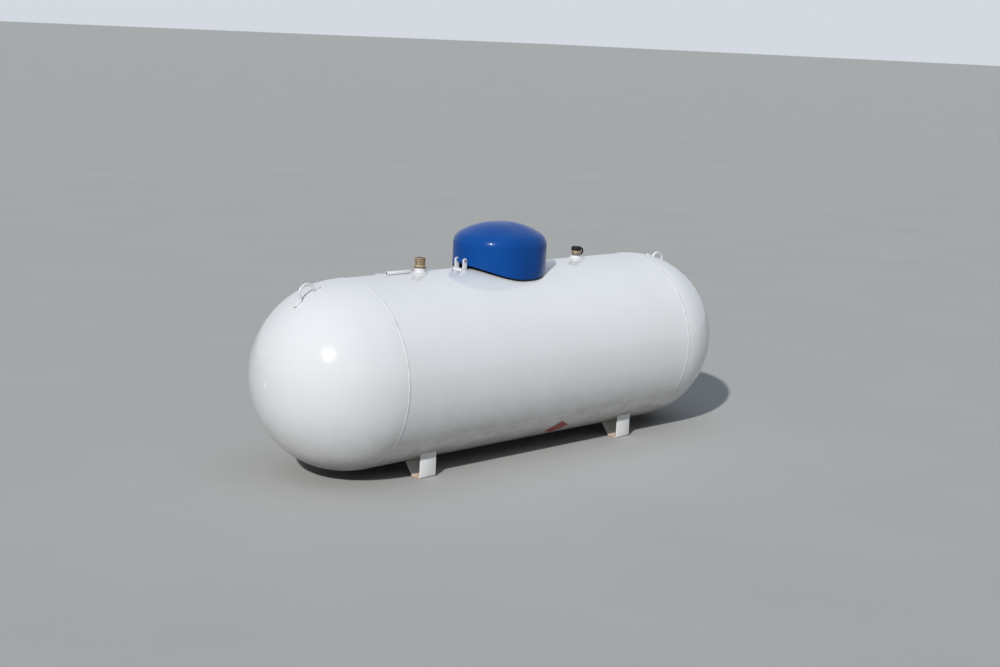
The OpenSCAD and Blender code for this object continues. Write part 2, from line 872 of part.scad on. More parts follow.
// The upright plate that the slotted tab drops over, with a hole for a lock
module hasp_staple() {
    top_r = staple_l / 2;
    color(white)
        welded_on_shell(staple_x)
            along_y(staple_t)
                difference() {
                    union() {
                        translate([-top_r, -staple_t])
                            square([staple_l, staple_h - top_r + staple_t]);
                        translate([0, staple_h - top_r])
                            circle(r = top_r);
                    }
                    translate([0, staple_h - top_r])
                        circle(d = lock_hole_d);
                }
}

// Places its children on top of a coupling under the lid
module on_inner_coupling(at) {
    on_shell(at.x, at.y)
        translate([0, 0, inner_coupling_h])
            children();
}

// A coupling under the lid
module inner_coupling(at, diameter) {
    color(white)
        coupling(at.x, at.y, diameter, fitting_weld_w, inner_coupling_h);
}

// The threaded foot of a fitting, in the bore of its coupling
module spigot(coupling_d) {
    translate([0, 0, -inner_coupling_h * 0.6])
        cylinder(r = spigot_r(coupling_d), h = inner_coupling_h * 0.6);
}

module float_gauge_coupling() {
    inner_coupling(gauge_at, gauge_coupling_d);
}

module float_gauge_head() {
    color(brass)
        on_inner_coupling(gauge_at) {
            cylinder(d = gauge_flange_d, h = gauge_flange_h);
            spigot(gauge_coupling_d);
            translate([0, 0, gauge_flange_h])
                cylinder(d1 = dial_d + 10, d2 = dial_d, h = 6);
        }
}

module float_gauge_dial() {
    lens_rim = 3;
    color("black")
        on_inner_coupling(gauge_at)
            translate([0, 0, gauge_flange_h + 6])
                difference() {
                    cylinder(d = dial_d, h = dial_h);
                    translate([0, 0, dial_h - 2])
                        cylinder(d = dial_d - 2 * lens_rim, h = 2 + past);
                }
}

// A hexagon body with a neck, as the capped valves have
module capped_body(at) {
    color(brass)
        on_inner_coupling(at) {
            hexagon(fitting_hex_d, fitting_hex_h);
            spigot(fitting_coupling_d);
            translate([0, 0, fitting_hex_h])
                cylinder(d = fitting_neck_d, h = fitting_neck_h);
        }
}

// A screwed cap on a capped valve
module screw_cap(at) {
    on_inner_coupling(at)
        translate([0, 0, fitting_hex_h + fitting_neck_h])
            ringed_cap(screw_cap_d, screw_cap_h, 4);
}

module fill_valve_coupling() {
    inner_coupling(fill_at, fitting_coupling_d);
}

module fill_valve_body() {
    capped_body(fill_at);
}

module fill_valve_cap() {
    color("gold")
        screw_cap(fill_at);
}

module vapor_valve_coupling() {
    inner_coupling(vapor_at, fitting_coupling_d);
}

module vapor_valve_body() {
    capped_body(vapor_at);
}

module vapor_valve_cap() {
    color("black")
        screw_cap(vapor_at);
}

module service_valve_coupling() {
    inner_coupling(service_at, fitting_coupling_d);
}

// A valve block with a bonnet above and a threaded outlet to the near side
module service_valve_body() {
    outlet_z = block_h * 0.5;
    color(brass)
        on_inner_coupling(service_at) {
            hexagon(fitting_hex_d, fitting_hex_h * 0.6);
            spigot(fitting_coupling_d);
            difference() {
                union() {
                    cylinder(d = bonnet_d + 8, h = block_h);
                    translate([0, 0, outlet_z])
                        rotate([90, 0, 0])
                            cylinder(d = outlet_d, h = outlet_l);
                }
                translate([0, -outlet_l - past, outlet_z])
                    rotate([-90, 0, 0])
                        cylinder(d = outlet_d - 10, h = 12 + past);
            }
            translate([0, 0, block_h])
                hexagon(bonnet_d, 14);
            translate([0, 0, block_h])
                cylinder(d = stem_d, h = 14 + stem_h);
        }
}

// A handwheel with scallops round its rim
module service_valve_handwheel() {
    scallops = 9;
    wheel_h = 12;
    scallop_r = 7;
    color("dimgray")
        on_inner_coupling(service_at)
            translate([0, 0, block_h + 14 + stem_h])
                difference() {
                    cylinder(d = handwheel_d, h = wheel_h);
                    for (i = [0 : scallops - 1])
                        rotate(i * 360 / scallops)
                            translate([handwheel_d / 2 + scallop_r * 0.45, 0, -past])
                                cylinder(r = scallop_r, h = wheel_h + 2 * past, $fn = 32);
                    translate([0, 0, wheel_h - 3])
                        cylinder(d = handwheel_d * 0.45, h = 3 + past);
                }
}

// The plug screwed into the service valve's outlet
module service_valve_plug() {
    plug_r = outlet_d / 2 - 5 - thread_gap;
    color(brass)
        on_inner_coupling(service_at)
            translate([0, -outlet_l, block_h * 0.5])
                rotate([90, 0, 0]) {
                    cylinder(d = outlet_d + 2, h = 9, $fn = 6);
                    translate([0, 0, -10])
                        cylinder(r = plug_r, h = 10);
                }
}

shell();
mirror([1, 0, 0]) head();  // left_head
head();  // right_head
mirror([1, 0, 0]) girth_weld();  // left_girth_weld
girth_weld();  // right_girth_weld
long_seam_weld();
leg(-leg_x);  // front_left_leg
leg(leg_x);  // front_right_leg
mirror([0, 1, 0]) leg(-leg_x);  // rear_left_leg
mirror([0, 1, 0]) leg(leg_x);  // rear_right_leg
left_lifting_lug();
right_lifting_lug();
data_plate_bracket();
data_plate();
liquid_valve_coupling();
liquid_valve_body();
liquid_valve_cap();
relief_valve_coupling();
relief_valve_body();
relief_valve_cap();
relief_cap_strap();
hinge_bracket();
hinge_pin();
dome_lid();
dome_hinge_knuckle();
dome_hasp();
hasp_staple();
float_gauge_coupling();
float_gauge_head();
float_gauge_dial();
fill_valve_coupling();
fill_valve_body();
fill_valve_cap();
service_valve_coupling();
service_valve_body();
service_valve_handwheel();
service_valve_plug();
vapor_valve_coupling();
vapor_valve_body();
vapor_valve_cap();
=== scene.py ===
# %% [markdown]
# # Dressing a horizontal pressure tank
#
# The part comes from CAD with its sizes and joints settled. This lesson gives it its looks:
# enamel, brass, rubber and rust as shader nodes, and the fine pieces that CAD leaves out, such as
# rippled welds, rivets, bolts and a pressed lid with a smooth skin. Every length is in metres, in
# the frame of the CAD model, so each new piece is made where it belongs and never fitted by eye.

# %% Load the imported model
import json
import math

import bmesh
import bpy
from mathutils import Matrix, Vector


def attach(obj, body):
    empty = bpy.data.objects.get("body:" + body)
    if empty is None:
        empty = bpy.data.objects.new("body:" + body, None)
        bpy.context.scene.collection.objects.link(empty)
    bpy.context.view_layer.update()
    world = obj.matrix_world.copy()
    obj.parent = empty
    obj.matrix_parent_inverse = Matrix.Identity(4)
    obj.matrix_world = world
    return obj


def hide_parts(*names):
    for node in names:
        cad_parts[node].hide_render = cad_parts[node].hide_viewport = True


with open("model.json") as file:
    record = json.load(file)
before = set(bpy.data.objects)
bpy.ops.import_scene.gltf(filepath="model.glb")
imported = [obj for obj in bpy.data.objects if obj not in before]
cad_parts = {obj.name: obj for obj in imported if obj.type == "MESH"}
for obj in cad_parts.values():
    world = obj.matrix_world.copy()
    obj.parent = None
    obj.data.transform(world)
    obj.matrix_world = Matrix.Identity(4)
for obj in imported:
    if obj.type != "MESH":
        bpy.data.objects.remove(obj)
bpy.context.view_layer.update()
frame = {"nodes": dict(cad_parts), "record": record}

# %% [markdown]
# The vessel is a cylinder lying along X with a half ball at each end. A few of its sizes place
# almost everything else, so they are written once here, as the part's source has them.

# %% Sizes of the vessel and its lid
TANK_R = 0.47525
AXIS_Z = 0.51275
CREST_Z = AXIS_Z + TANK_R
SEAM_X = 1.0185
HEAD_X = 1.0335
LID_R = 0.2327
LID_STRAIGHT = 0.0428
LID_X = -0.0233
LID_RIGHT = LID_X + LID_STRAIGHT / 2 + LID_R
print("crest at", round(CREST_Z, 4))

# %% [markdown]
# ## The camera and the light
#
# The photograph was taken from beside the left end, a little above the tank. Its camera was
# worked out from the tank's own outline, and is set here as three directions: forward, right and
# up. The lens follows from the same fit.

# %% Place the camera
def linked(name, data=None):
    """A new object that holds some data, put into the scene."""
    made = bpy.data.objects.new(name, data)
    bpy.context.scene.collection.objects.link(made)
    return made


CAMERA_AT = Vector((-5.6796, -5.9539, 2.18205))
HEADING, DIP, ROLL = (math.radians(a) for a in (46.317, 10.774, 2.583))
LENS_MM = 56.15

forward = Vector((math.cos(DIP) * math.cos(HEADING), math.cos(DIP) * math.sin(HEADING), -math.sin(DIP)))
level_right = Vector((math.sin(HEADING), -math.cos(HEADING), 0))
level_up = level_right.cross(forward)
right = math.cos(ROLL) * level_right + math.sin(ROLL) * level_up
up = math.cos(ROLL) * level_up - math.sin(ROLL) * level_right

camera = linked("camera", bpy.data.cameras.new("camera"))
camera.data.sensor_width = 36
camera.data.lens = LENS_MM
camera.data.clip_end = 1000
camera.matrix_world = Matrix.Translation(CAMERA_AT) @ Matrix((right, up, -forward)).transposed().to_4x4()
bpy.context.scene.camera = camera
print("lens", LENS_MM, "mm")

# %% [markdown]
# One lamp stands where the sun stood, high behind the camera's left shoulder. It is a little
# wider than the sun, for softer shadows, and small enough to leave the bright spot on the left
# end that shows how glossy the enamel is. A very wide, bluish lamp overhead does what the sky
# did: it lights the top of everything and leaves the ground under the tank dark. Its disc would
# show as a hard edged patch in the gloss, so it isn't mirrored.

# %% Hang the lamps
def hang(name, towards, energy, spread, tint, mirrored=True):
    """A lamp far off in one direction, as wide as its spread in degrees."""
    lamp = linked(name, bpy.data.lights.new(name, "SUN"))
    lamp.rotation_euler = Vector(towards).to_track_quat("Z", "Y").to_euler()
    lamp.data.energy = energy
    lamp.data.angle = math.radians(spread)
    lamp.data.color = tint
    lamp.visible_glossy = mirrored
    print(name, energy)


hang("key_lamp", towards=(-0.733, -0.400, 0.550), energy=2.95, spread=1.5, tint=(1.0, 0.985, 0.965))
hang("overhead_lamp", towards=(-0.05, -0.20, 1), energy=0.90, spread=85, tint=(0.72, 0.86, 1.0),
     mirrored=False)
bpy.context.scene.view_settings.view_transform = "Standard"

# %% [markdown]
# ## Shader maths in Python
#
# A finish is a graph of nodes, and most of it is arithmetic: how far a point is from a seam, how
# much dust lies there. A small class stands for one output of a node. Adding or multiplying two
# of them adds a Math node, so a mask reads like a formula. Every other kind of node is made by
# one method, which sets its settings first and then its sockets.

# %% A class for node outputs
class Wire:
    """One output of a node, which can stand in a formula."""

    def __init__(self, graph, socket):
        self.graph = graph
        self.socket = socket

    def other(self, name):
        """Another output of the same node."""
        return Wire(self.graph, self.socket.node.outputs[name])

    def math(self, operation, *values):
        return self.graph.node("ShaderNodeMath", {"operation": operation}, dict(enumerate(values)))

    def __add__(self, other):
        return self.math("ADD", self, other)

    def __sub__(self, other):
        return self.math("SUBTRACT", self, other)

    def __rsub__(self, other):
        return self.math("SUBTRACT", other, self)

    def __mul__(self, other):
        return self.math("MULTIPLY", self, other)

    __radd__ = __add__
    __rmul__ = __mul__

    def size(self):
        return self.math("ABSOLUTE", self)

    def most(self, other):
        return self.math("MAXIMUM", self, other)

    def ramp(self, low, high):
        """0 at low, 1 at high and smooth in between. Low may be the greater."""
        return self.graph.node("ShaderNodeMapRange", {"interpolation_type": "SMOOTHSTEP"},
                               {"Value": self, "From Min": low, "From Max": high})


print("a wire can be added, subtracted and multiplied")

# %% [markdown]
# A Mix node lists its sockets once for each kind of data, and only those of the kind in use are
# enabled. So a socket is found by its name among the enabled ones.

# %% A class for node graphs
class Graph:
    """A node tree that is being filled."""

    def __init__(self, tree):
        self.tree = tree

    def node(self, kind, settings=None, sockets=None, output=0):
        made = self.tree.nodes.new(kind)
        for name, value in (settings or {}).items():
            setattr(made, name, value)
        for name, value in (sockets or {}).items():
            self.feed(enabled(made.inputs, name), value)
        return Wire(self, enabled(made.outputs, output)) if made.outputs else None

    def feed(self, socket, value):
        if isinstance(value, Wire):
            self.tree.links.new(value.socket, socket)
        else:
            socket.default_value = value

    def place(self):
        """Object coordinates, which are the frame's own, as every mesh holds its place."""
        return self.node("ShaderNodeTexCoord", output="Object")

    def axes(self):
        """X, Y and Z of the place, apart."""
        x = self.node("ShaderNodeSeparateXYZ", sockets={"Vector": self.place()}, output="X")
        return x, x.other("Y"), x.other("Z")

    def stretched(self, x, y, z):
        """The place, with each axis multiplied."""
        return self.node("ShaderNodeVectorMath", {"operation": "MULTIPLY"}, {0: self.place(), 1: (x, y, z)})

    def noise(self, scale, detail=3.0, roughness=0.5, place=None):
        sockets = {"Vector": place or self.place(), "Scale": scale, "Detail": detail, "Roughness": roughness}
        return self.node("ShaderNodeTexNoise", sockets=sockets)

    def specks(self, scale, radius, share):
        """1 inside round specks of a radius, as a share of the cells that have one."""
        cells = self.node("ShaderNodeTexVoronoi", sockets={"Vector": self.place(), "Scale": scale})
        chance = self.node("ShaderNodeSeparateColor", sockets={"Color": cells.other("Color")})
        return cells.ramp(radius * scale, radius * scale * 0.5) * chance.ramp(share, share * 0.97)

    def blend(self, share, under, over):
        """One colour laid on another, by a share."""
        return self.node("ShaderNodeMix", {"data_type": "RGBA"},
                         {"Factor": share, "A": colour(under), "B": colour(over)}, output="Result")


def enabled(sockets, name):
    if isinstance(name, int):
        return [s for s in sockets if s.enabled][name]
    return next(s for s in sockets if s.name == name and s.enabled)


def colour(value):
    return value if isinstance(value, Wire) else (*value, 1.0)


print("a graph adds its nodes as formulas are written")

# %% [markdown]
# A finish starts as a material with one Principled shader. What is the same all over goes
# straight onto the shader's own sockets, and only colour, roughness, metal, coat and bump vary.

# %% A class for finishes
class Finish(Graph):
    """A material, its graph and the shader at its end."""

    def __init__(self, name, constants):
        self.material = bpy.data.materials.new(name)
        self.material.use_nodes = True
        super().__init__(self.material.node_tree)
        self.shader = self.tree.nodes["Principled BSDF"]
        for socket, value in constants.items():
            self.set(socket, value)

    def set(self, socket, value):
        self.feed(self.shader.inputs[socket], value)

    def look(self, paint, roughness, coat=None):
        """Sets what most finishes vary: colour, roughness and, where there is one, the coat."""
        self.set("Base Color", paint)
        self.set("Roughness", roughness)
        if coat is not None:
            self.set("Coat Weight", coat)

    def bump(self, height, distance, strength=1.0):
        sockets = {"Height": height, "Distance": distance, "Strength": strength}
        self.set("Normal", self.node("ShaderNodeBump", sockets=sockets))


print("finishes wait for their colours")

# %% [markdown]
# ## The pale room and its floor
#
# The room lights the tank evenly and dimly, so that the lamps keep their sides clear. What the
# camera and the gloss see of it is a pale, bluish grey. Two Background shaders do that, and Light
# Path chooses between them. The floor is one large plain plane, with only a faint cloudiness.

# %% The room
room = bpy.data.worlds.new("pale_room")
room.use_nodes = True
room.node_tree.nodes.clear()
bpy.context.scene.world = room
graph = Graph(room.node_tree)
path = graph.node("ShaderNodeLightPath", output="Is Camera Ray")
seen = path.most(path.other("Is Glossy Ray")).most(path.other("Is Transmission Ray"))
fill_light = graph.node("ShaderNodeBackground", sockets={"Color": (0.78, 0.89, 1.0, 1.0), "Strength": 0.03})
backdrop = graph.node("ShaderNodeBackground", sockets={"Color": (0.66, 0.70, 0.75, 1.0), "Strength": 1.0})
shown = graph.node("ShaderNodeMixShader", sockets={0: seen, 1: fill_light, 2: backdrop})
graph.node("ShaderNodeOutputWorld", sockets={"Surface": shown})
print("room", len(room.node_tree.nodes), "nodes")

# %% The floor
floor_finish = Finish("pale_floor", {"Roughness": 0.85, "Specular IOR Level": 0.2})
floor_cloud = floor_finish.noise(0.9, 5)
floor_finish.set("Base Color", floor_finish.blend(floor_cloud, (0.45, 0.445, 0.435), (0.51, 0.505, 0.495)))
bpy.ops.object.select_all(action="DESELECT")
bpy.ops.mesh.primitive_plane_add(size=900, location=(0, 0, 0))
floor = bpy.context.active_object
floor.name = "floor"
floor.data.materials.append(floor_finish.material)
print("floor", floor.dimensions.x, "m wide")

# %% [markdown]
# ## White enamel
#
# The vessel is sprayed with a gloss enamel. Close up it has a fine orange peel, and the plate
# under it waves a little, which bends the reflections. The left end is painted a duller white, a
# painted shade that tones down the lamp's light on it. Rain leaves faint streaks down the sides,
# grit gathers along the girth beads, the lower part is darker with dust and painted shade, the
# underside is painted darker still as painted shade, and a few specks of rust have broken through.
# Each of these is a mask from the place, so it stays where it is on the tank, whatever looks at it.
# The limits of a mask are written as a pair: it is nothing at the first value and full at the
# second.

# %% Colours and limits of the white enamel
CLEAN_WHITE = (0.835, 0.848, 0.873)
FITTING_WHITE = (0.73, 0.74, 0.76)
# The legs' white is brighter, painted light for the sun on their outer faces.
LIT_LEG_WHITE = (0.95, 0.96, 0.97)
AGED_WHITE = (0.795, 0.806, 0.818)
# A duller white, a painted shade on the sunlit left end.
END_SHADE_WHITE = (0.715, 0.725, 0.748)
STREAK = (0.60, 0.60, 0.585)
# A grey for dust and painted shade on the lower part.
DUST_AND_SHADE = (0.43, 0.412, 0.385)
# Near black, a painted shade on the underside.
UNDERSIDE_SHADE = (0.090, 0.085, 0.075)
RUST = (0.22, 0.095, 0.030)
RUST_STAIN = (0.80, 0.64, 0.46)

# Mask limits: painted shade on the left end, dust and painted shade low down, painted shade on the
# underside.
SHADED_END_X = (-1.00, -1.22)
DUST_AND_SHADE_HEIGHTS = (0.46, 0.10)
SHADED_HEIGHTS = (0.200, 0.060)
GRIT_FROM_SEAM = (0.0150, 0.0105)
print("enamel chalks left of", SHADED_END_X[0], "and is dusty below", DUST_AND_SHADE_HEIGHTS[0])


# %% White enamel
def white_enamel(name, dusty_and_shaded=1.0, clean=CLEAN_WHITE):
    """Gloss white enamel with streaks, dust and painted shade. Returns the finish and its colour, to add to.
    """
    finish = Finish(name, {"IOR": 1.5, "Coat Roughness": 0.09})
    x, _, z = finish.axes()
    aged = finish.noise(2.2, 4).ramp(0.35, 0.75)
    streak = finish.noise(1.0, 5, 0.6, finish.stretched(34, 4, 2.4)).ramp(0.52, 0.80)
    # Painted shade: the left end is painted duller.
    shaded_end = x.ramp(*SHADED_END_X)
    patchy = 0.42 + finish.noise(11, 6, 0.65).ramp(0.30, 0.75) * 0.50
    # Dust and painted shade: darker towards the bottom.
    dust = z.ramp(*DUST_AND_SHADE_HEIGHTS) * patchy * (1 - shaded_end * 0.55) * dusty_and_shaded
    # Painted shade: the underside is painted darker still.
    under = z.ramp(*SHADED_HEIGHTS) * dusty_and_shaded
    grit = (x.size() - SEAM_X).size().ramp(*GRIT_FROM_SEAM) * finish.noise(26, 4).ramp(0.40, 0.72)
    paint = finish.blend(aged * 0.6, clean, AGED_WHITE)
    paint = finish.blend(shaded_end * 0.85, paint, END_SHADE_WHITE)
    paint = finish.blend(streak * 0.10, paint, STREAK)
    paint = finish.blend(dust + grit * 0.22, paint, DUST_AND_SHADE)
    paint = finish.blend(under * 0.66, paint, UNDERSIDE_SHADE)
    paint = finish.blend(finish.specks(8.5, 0.0016, 0.10) * 0.85, paint, RUST)
    dullness = aged * 0.04 + dust * 0.52 + under * 0.20 + streak * 0.05
    finish.look(paint, 0.10 + dullness, (0.30 - dust * 0.28 - under * 0.3).most(0))
    peel = finish.noise(260, 2, 0.4)
    waves = finish.noise(4.5, 2, 0.4)
    finish.bump(peel * 0.035 + waves, 0.0035, 0.35)
    return finish, paint


tank_enamel, _ = white_enamel("white_enamel")
fitting_enamel, _ = white_enamel("fitting_enamel", clean=FITTING_WHITE)
print("white enamel", len(tank_enamel.tree.nodes), "nodes")

# %% [markdown]
# The legs have the same enamel in a brighter white, painted light for the sun on their outer
# faces, and with little of the dust and painted shade, but water stands in their feet. The floor of
# each foot, between its two bends, is stained cream, and brown rust breaks out along its cut edges.
# The mask keeps to that floor, so that the upright sides stay clean.

# %% Enamel of the legs
FOOT_FLOOR_Y = (0.2800, 0.2760)
STAINED_HEIGHTS = (0.024, 0.012)
RUSTED_HEIGHTS = (0.0072, 0.0054)

# The legs get a brighter white as painted light, and little dust and painted shade.
leg_enamel, leg_paint = white_enamel("leg_enamel", 0.1, LIT_LEG_WHITE)
_, y, z = leg_enamel.axes()
foot_noise = leg_enamel.noise(70, 6, 0.7)
floor_only = y.size().ramp(*FOOT_FLOOR_Y)
stain = (z + foot_noise * 0.010).ramp(*STAINED_HEIGHTS) * floor_only
cut_edge = (z + foot_noise * 0.004).ramp(*RUSTED_HEIGHTS) * floor_only
patches = leg_enamel.noise(180, 4).ramp(0.50, 0.64) * stain
leg_paint = leg_enamel.blend(stain * 0.85, leg_paint, RUST_STAIN)
leg_paint = leg_enamel.blend((cut_edge * 0.75).most(patches * 0.7), leg_paint, RUST)
leg_enamel.look(leg_paint, 0.30 + stain * 0.45, 0.4 - stain * 0.4)
print("leg enamel", len(leg_enamel.tree.nodes), "nodes")

# %% [markdown]
# Two places need a finish of their own. The inside of the open roll of the plate's bracket is
# painted near black, a painted shade that reads as a dark spot at its end. The left lug has lost its
# paint on the cut end of its lower tail. Each is a mask round a point or a line.

# %% Enamel of the plate's bracket and of the left lug
ROLL_Y, ROLL_Z = 0.00714, 0.99715
INSIDE_ROLL = (0.0064, 0.0059)
# Near black, a painted shade inside the roll.
ROLL_SHADE = (0.020, 0.017, 0.014)
LUG_END = (-1.3509, 0.0, 0.8752)
BARE_FROM_END = (0.0130, 0.0100)
BARE_STEEL = (0.46, 0.45, 0.44)

bracket_enamel, bracket_paint = white_enamel("bracket_enamel")
_, y, z = bracket_enamel.axes()
off_y, off_z = y - ROLL_Y, z - ROLL_Z
off_axis = off_y * off_y + off_z * off_z
# The inside of the roll is painted near black, a painted shade.
in_roll = off_axis.math("SQRT", off_axis).ramp(*INSIDE_ROLL)
bracket_paint = bracket_enamel.blend(in_roll * 0.95, bracket_paint, ROLL_SHADE)
bracket_enamel.look(bracket_paint, 0.28 + in_roll * 0.6, 0.5 - in_roll * 0.5)

lug_enamel, lug_paint = white_enamel("lug_enamel")
off_end = lug_enamel.node("ShaderNodeVectorMath", {"operation": "DISTANCE"},
                          {0: lug_enamel.place(), 1: LUG_END}, output="Value")
bare = (off_end + lug_enamel.noise(160, 4) * 0.006).ramp(*BARE_FROM_END)
lug_paint = lug_enamel.blend(bare * 0.8, lug_paint, BARE_STEEL)
lug_enamel.look(lug_paint, 0.28 + bare * 0.4, 0.5 - bare * 0.5)
print("bracket and lug enamel", len(bracket_enamel.tree.nodes), len(lug_enamel.tree.nodes), "nodes")

# %% [markdown]
# The lid is a deep blue gloss enamel. Sun has chalked its crown a little, and its press left slow
# waves that break up the highlight on the shoulder.

# %% Blue enamel
BLUE = (0.003, 0.066, 0.300)
DEEP_BLUE = (0.002, 0.052, 0.245)
CHALKED_BLUE = (0.006, 0.095, 0.380)
LID_DUST = (0.45, 0.45, 0.44)
CHALKED_HEIGHTS = (CREST_Z + 0.14, CREST_Z + 0.235)

lid_enamel = Finish("blue_enamel", {"IOR": 1.5, "Specular IOR Level": 0.09, "Coat Roughness": 0.05})
_, _, z = lid_enamel.axes()
chalk = z.ramp(*CHALKED_HEIGHTS) * lid_enamel.noise(9, 5, 0.6).ramp(0.30, 0.70)
lid_dust = lid_enamel.noise(55, 5, 0.7).ramp(0.50, 0.80) * chalk
blue = lid_enamel.blend(chalk * 0.55, BLUE, CHALKED_BLUE)
blue = lid_enamel.blend(lid_enamel.noise(3, 3).ramp(0.35, 0.70) * 0.25, blue, DEEP_BLUE)
blue = lid_enamel.blend(lid_dust * 0.02, blue, LID_DUST)
lid_enamel.look(blue, 0.26 + chalk * 0.08 + lid_dust * 0.1, 0.12 - chalk * 0.04)
lid_enamel.bump(lid_enamel.noise(300, 2, 0.4) * 0.03 + lid_enamel.noise(8, 2, 0.4), 0.004, 0.35)
print("blue enamel", len(lid_enamel.tree.nodes), "nodes")

# %% [markdown]
# ## Brass, steel, rubber and plastic
#
# Valve bodies are brass that has gone brown in the weather and stays brighter where hands and
# wrenches rub it. A few bands, in grooves and at the cap's ends, are dark with dirt and painted
# shade. Pin, bolts and rivets are zinc plated and the data plate is stainless steel, all dulled
# unevenly. Rubber and plastic are dark, and paler where they have worn.

# %% Tarnished brass
# Dark brown for dirt and painted shade in grooves and bands.
BRASS_DIRT_AND_SHADE = (0.045, 0.030, 0.018)


def brass(name, fresh, tarnished, share, bands=()):
    """Brass of two colours. A greater share shows more tarnish. Bands are heights painted dark, with dirt
    and painted shade.
    """
    finish = Finish(name, {"IOR": 1.45})
    patina = finish.noise(85, 6, 0.65).ramp(0.62 - share * 0.5, 0.80 - share * 0.4)
    dirt_and_shade = finish.noise(240, 4, 0.6).ramp(0.52, 0.72)
    _, _, z = finish.axes()
    # Bands of dirt and painted shade at the given heights.
    for height, half in bands:
        dirt_and_shade = dirt_and_shade.most((z - height).size().ramp(half, half * 0.6))
    metal = finish.blend(patina, fresh, tarnished)
    metal = finish.blend(dirt_and_shade * 0.75, metal, BRASS_DIRT_AND_SHADE)
    finish.look(metal, 0.34 + patina * 0.18 + dirt_and_shade * 0.22)
    finish.set("Metallic", 0.72 - dirt_and_shade * 0.5)
    finish.bump(finish.noise(420, 3), 0.0003, 0.5)
    return finish


LIQUID_CAP_Z = CREST_Z + 0.045
CAP_GROOVES = [(LIQUID_CAP_Z + z, 0.0022) for z in (0.0002, 0.008, 0.016, 0.024)]
CAP_ENDS = [(LIQUID_CAP_Z + 0.0340, 0.0036), (LIQUID_CAP_Z - 0.0170, 0.0040)]
RELIEF_BAND = [(CREST_Z + 0.0215, 0.0042)]

old_brass = brass("old_brass", (0.74, 0.60, 0.41), (0.38, 0.29, 0.18), 0.62, CAP_GROOVES + CAP_ENDS)
relief_brass = brass("relief_brass", (0.52, 0.46, 0.36), (0.34, 0.27, 0.18), 0.60, RELIEF_BAND)
clean_brass = brass("clean_brass", (0.66, 0.48, 0.20), (0.42, 0.29, 0.13), 0.35)
print("brass", len(old_brass.tree.nodes), "nodes")


# %% Steel
def steel(name, bright, dull, along):
    """Steel with fine lines, drawn out along one axis by the three factors."""
    finish = Finish(name, {"Metallic": 1.0})
    lines = finish.noise(1.0, 4, 0.6, finish.stretched(*along))
    stain = finish.noise(45, 4, 0.6).ramp(0.42, 0.75)
    finish.look(finish.blend(stain * 0.7, bright, dull), 0.30 + lines * 0.16 + stain * 0.16)
    finish.bump(lines, 0.0002, 0.4)
    return finish


zinc = steel("dull_zinc", (0.52, 0.53, 0.54), (0.33, 0.32, 0.31), (600, 90, 600))
stainless = steel("stainless_plate", (0.66, 0.67, 0.68), (0.48, 0.47, 0.45), (30, 900, 900))
print("steel", len(zinc.tree.nodes), "nodes")


# %% Rubber and moulded plastic
def moulded(name, base, worn, grain, roughness):
    """Rubber or plastic with a fine grain, paler where it has worn or gathered dust."""
    finish = Finish(name, {"IOR": 1.48, "Specular IOR Level": 0.3})
    pale = finish.noise(60, 5, 0.65).ramp(0.45, 0.75)
    finish.look(finish.blend(pale * 0.6, base, worn), roughness + pale * 0.15)
    finish.bump(finish.noise(grain, 3, 0.6), 0.0003, 0.5)
    return finish


rubber = moulded("black_rubber", (0.006, 0.006, 0.006), (0.026, 0.023, 0.018), 500, 0.66)
plastic = moulded("black_plastic", (0.014, 0.014, 0.015), (0.045, 0.045, 0.046), 700, 0.40)
wheel_enamel = moulded("wheel_enamel", (0.12, 0.13, 0.14), (0.26, 0.25, 0.24), 350, 0.42)
print("rubber", len(rubber.tree.nodes), "nodes")

# %% [markdown]
# The CAD nodes take their finish from the record's slots, so one table gives every node its
# material. Nodes that are replaced further on only lose a finish that isn't seen.

# %% Finish the CAD nodes
SLOT_FINISH = {
    "tank_paint": tank_enamel,
    "leg_paint": leg_enamel,
    "lid_paint": lid_enamel,
    "plate_steel": stainless,
    "pin_steel": zinc,
    "valve_brass": old_brass,
    "black_rubber": rubber,
    "black_plastic": plastic,
    "dial_plastic": plastic,
    "handwheel_paint": wheel_enamel,
}

for part in frame["record"]["subparts"]:
    mesh = frame["nodes"][part["node"]].data
    mesh.materials.clear()
    mesh.materials.append(SLOT_FINISH[part["material_slot"]].material)

# %% [markdown]
# ## A few helpers for modelling
#
# An operator acts on whatever is selected, so each piece starts by being the only one selected.
# Faces and edges are then picked by a test on their place or normal, and pulled out, moved,
# resized or rotated. A finished piece gets its name, its finish and the body that it rides on in
# one call.

# %% Helpers for adding and picking
def alone(piece):
    bpy.ops.object.select_all(action="DESELECT")
    piece.select_set(True)
    bpy.context.view_layer.objects.active = piece
    return piece


def added(primitive, **settings):
    """Adds a primitive with nothing else selected."""
    bpy.ops.object.select_all(action="DESELECT")
    primitive(**settings)
    return bpy.context.active_object


def pick_all():
    bpy.ops.mesh.select_all(action="SELECT")


def edit(piece):
    """Edit mode for one piece, with all of it picked."""
    alone(piece)
    bpy.ops.object.mode_set(mode="EDIT")
    pick_all()


def done():
    bpy.ops.object.mode_set(mode="OBJECT")


def pick(piece, kind, wanted):
    """Selects the verts, edges or faces of a piece in edit mode that pass a test."""
    bpy.ops.mesh.select_all(action="DESELECT")
    bpy.ops.mesh.select_mode(type={"verts": "VERT", "edges": "EDGE", "faces": "FACE"}[kind])
    mesh = bmesh.from_edit_mesh(piece.data)
    chosen = [element for element in getattr(mesh, kind) if wanted(element)]
    for element in chosen:
        element.select_set(True)
    mesh.select_flush_mode()
    bmesh.update_edit_mesh(piece.data)
    return len(chosen)


print("a piece is added and picked from")


# %% Helpers for shaping what is picked
def pull(x, y, z):
    """Extrudes it by a move."""
    bpy.ops.mesh.extrude_region_move(TRANSFORM_OT_translate={"value": (x, y, z)})


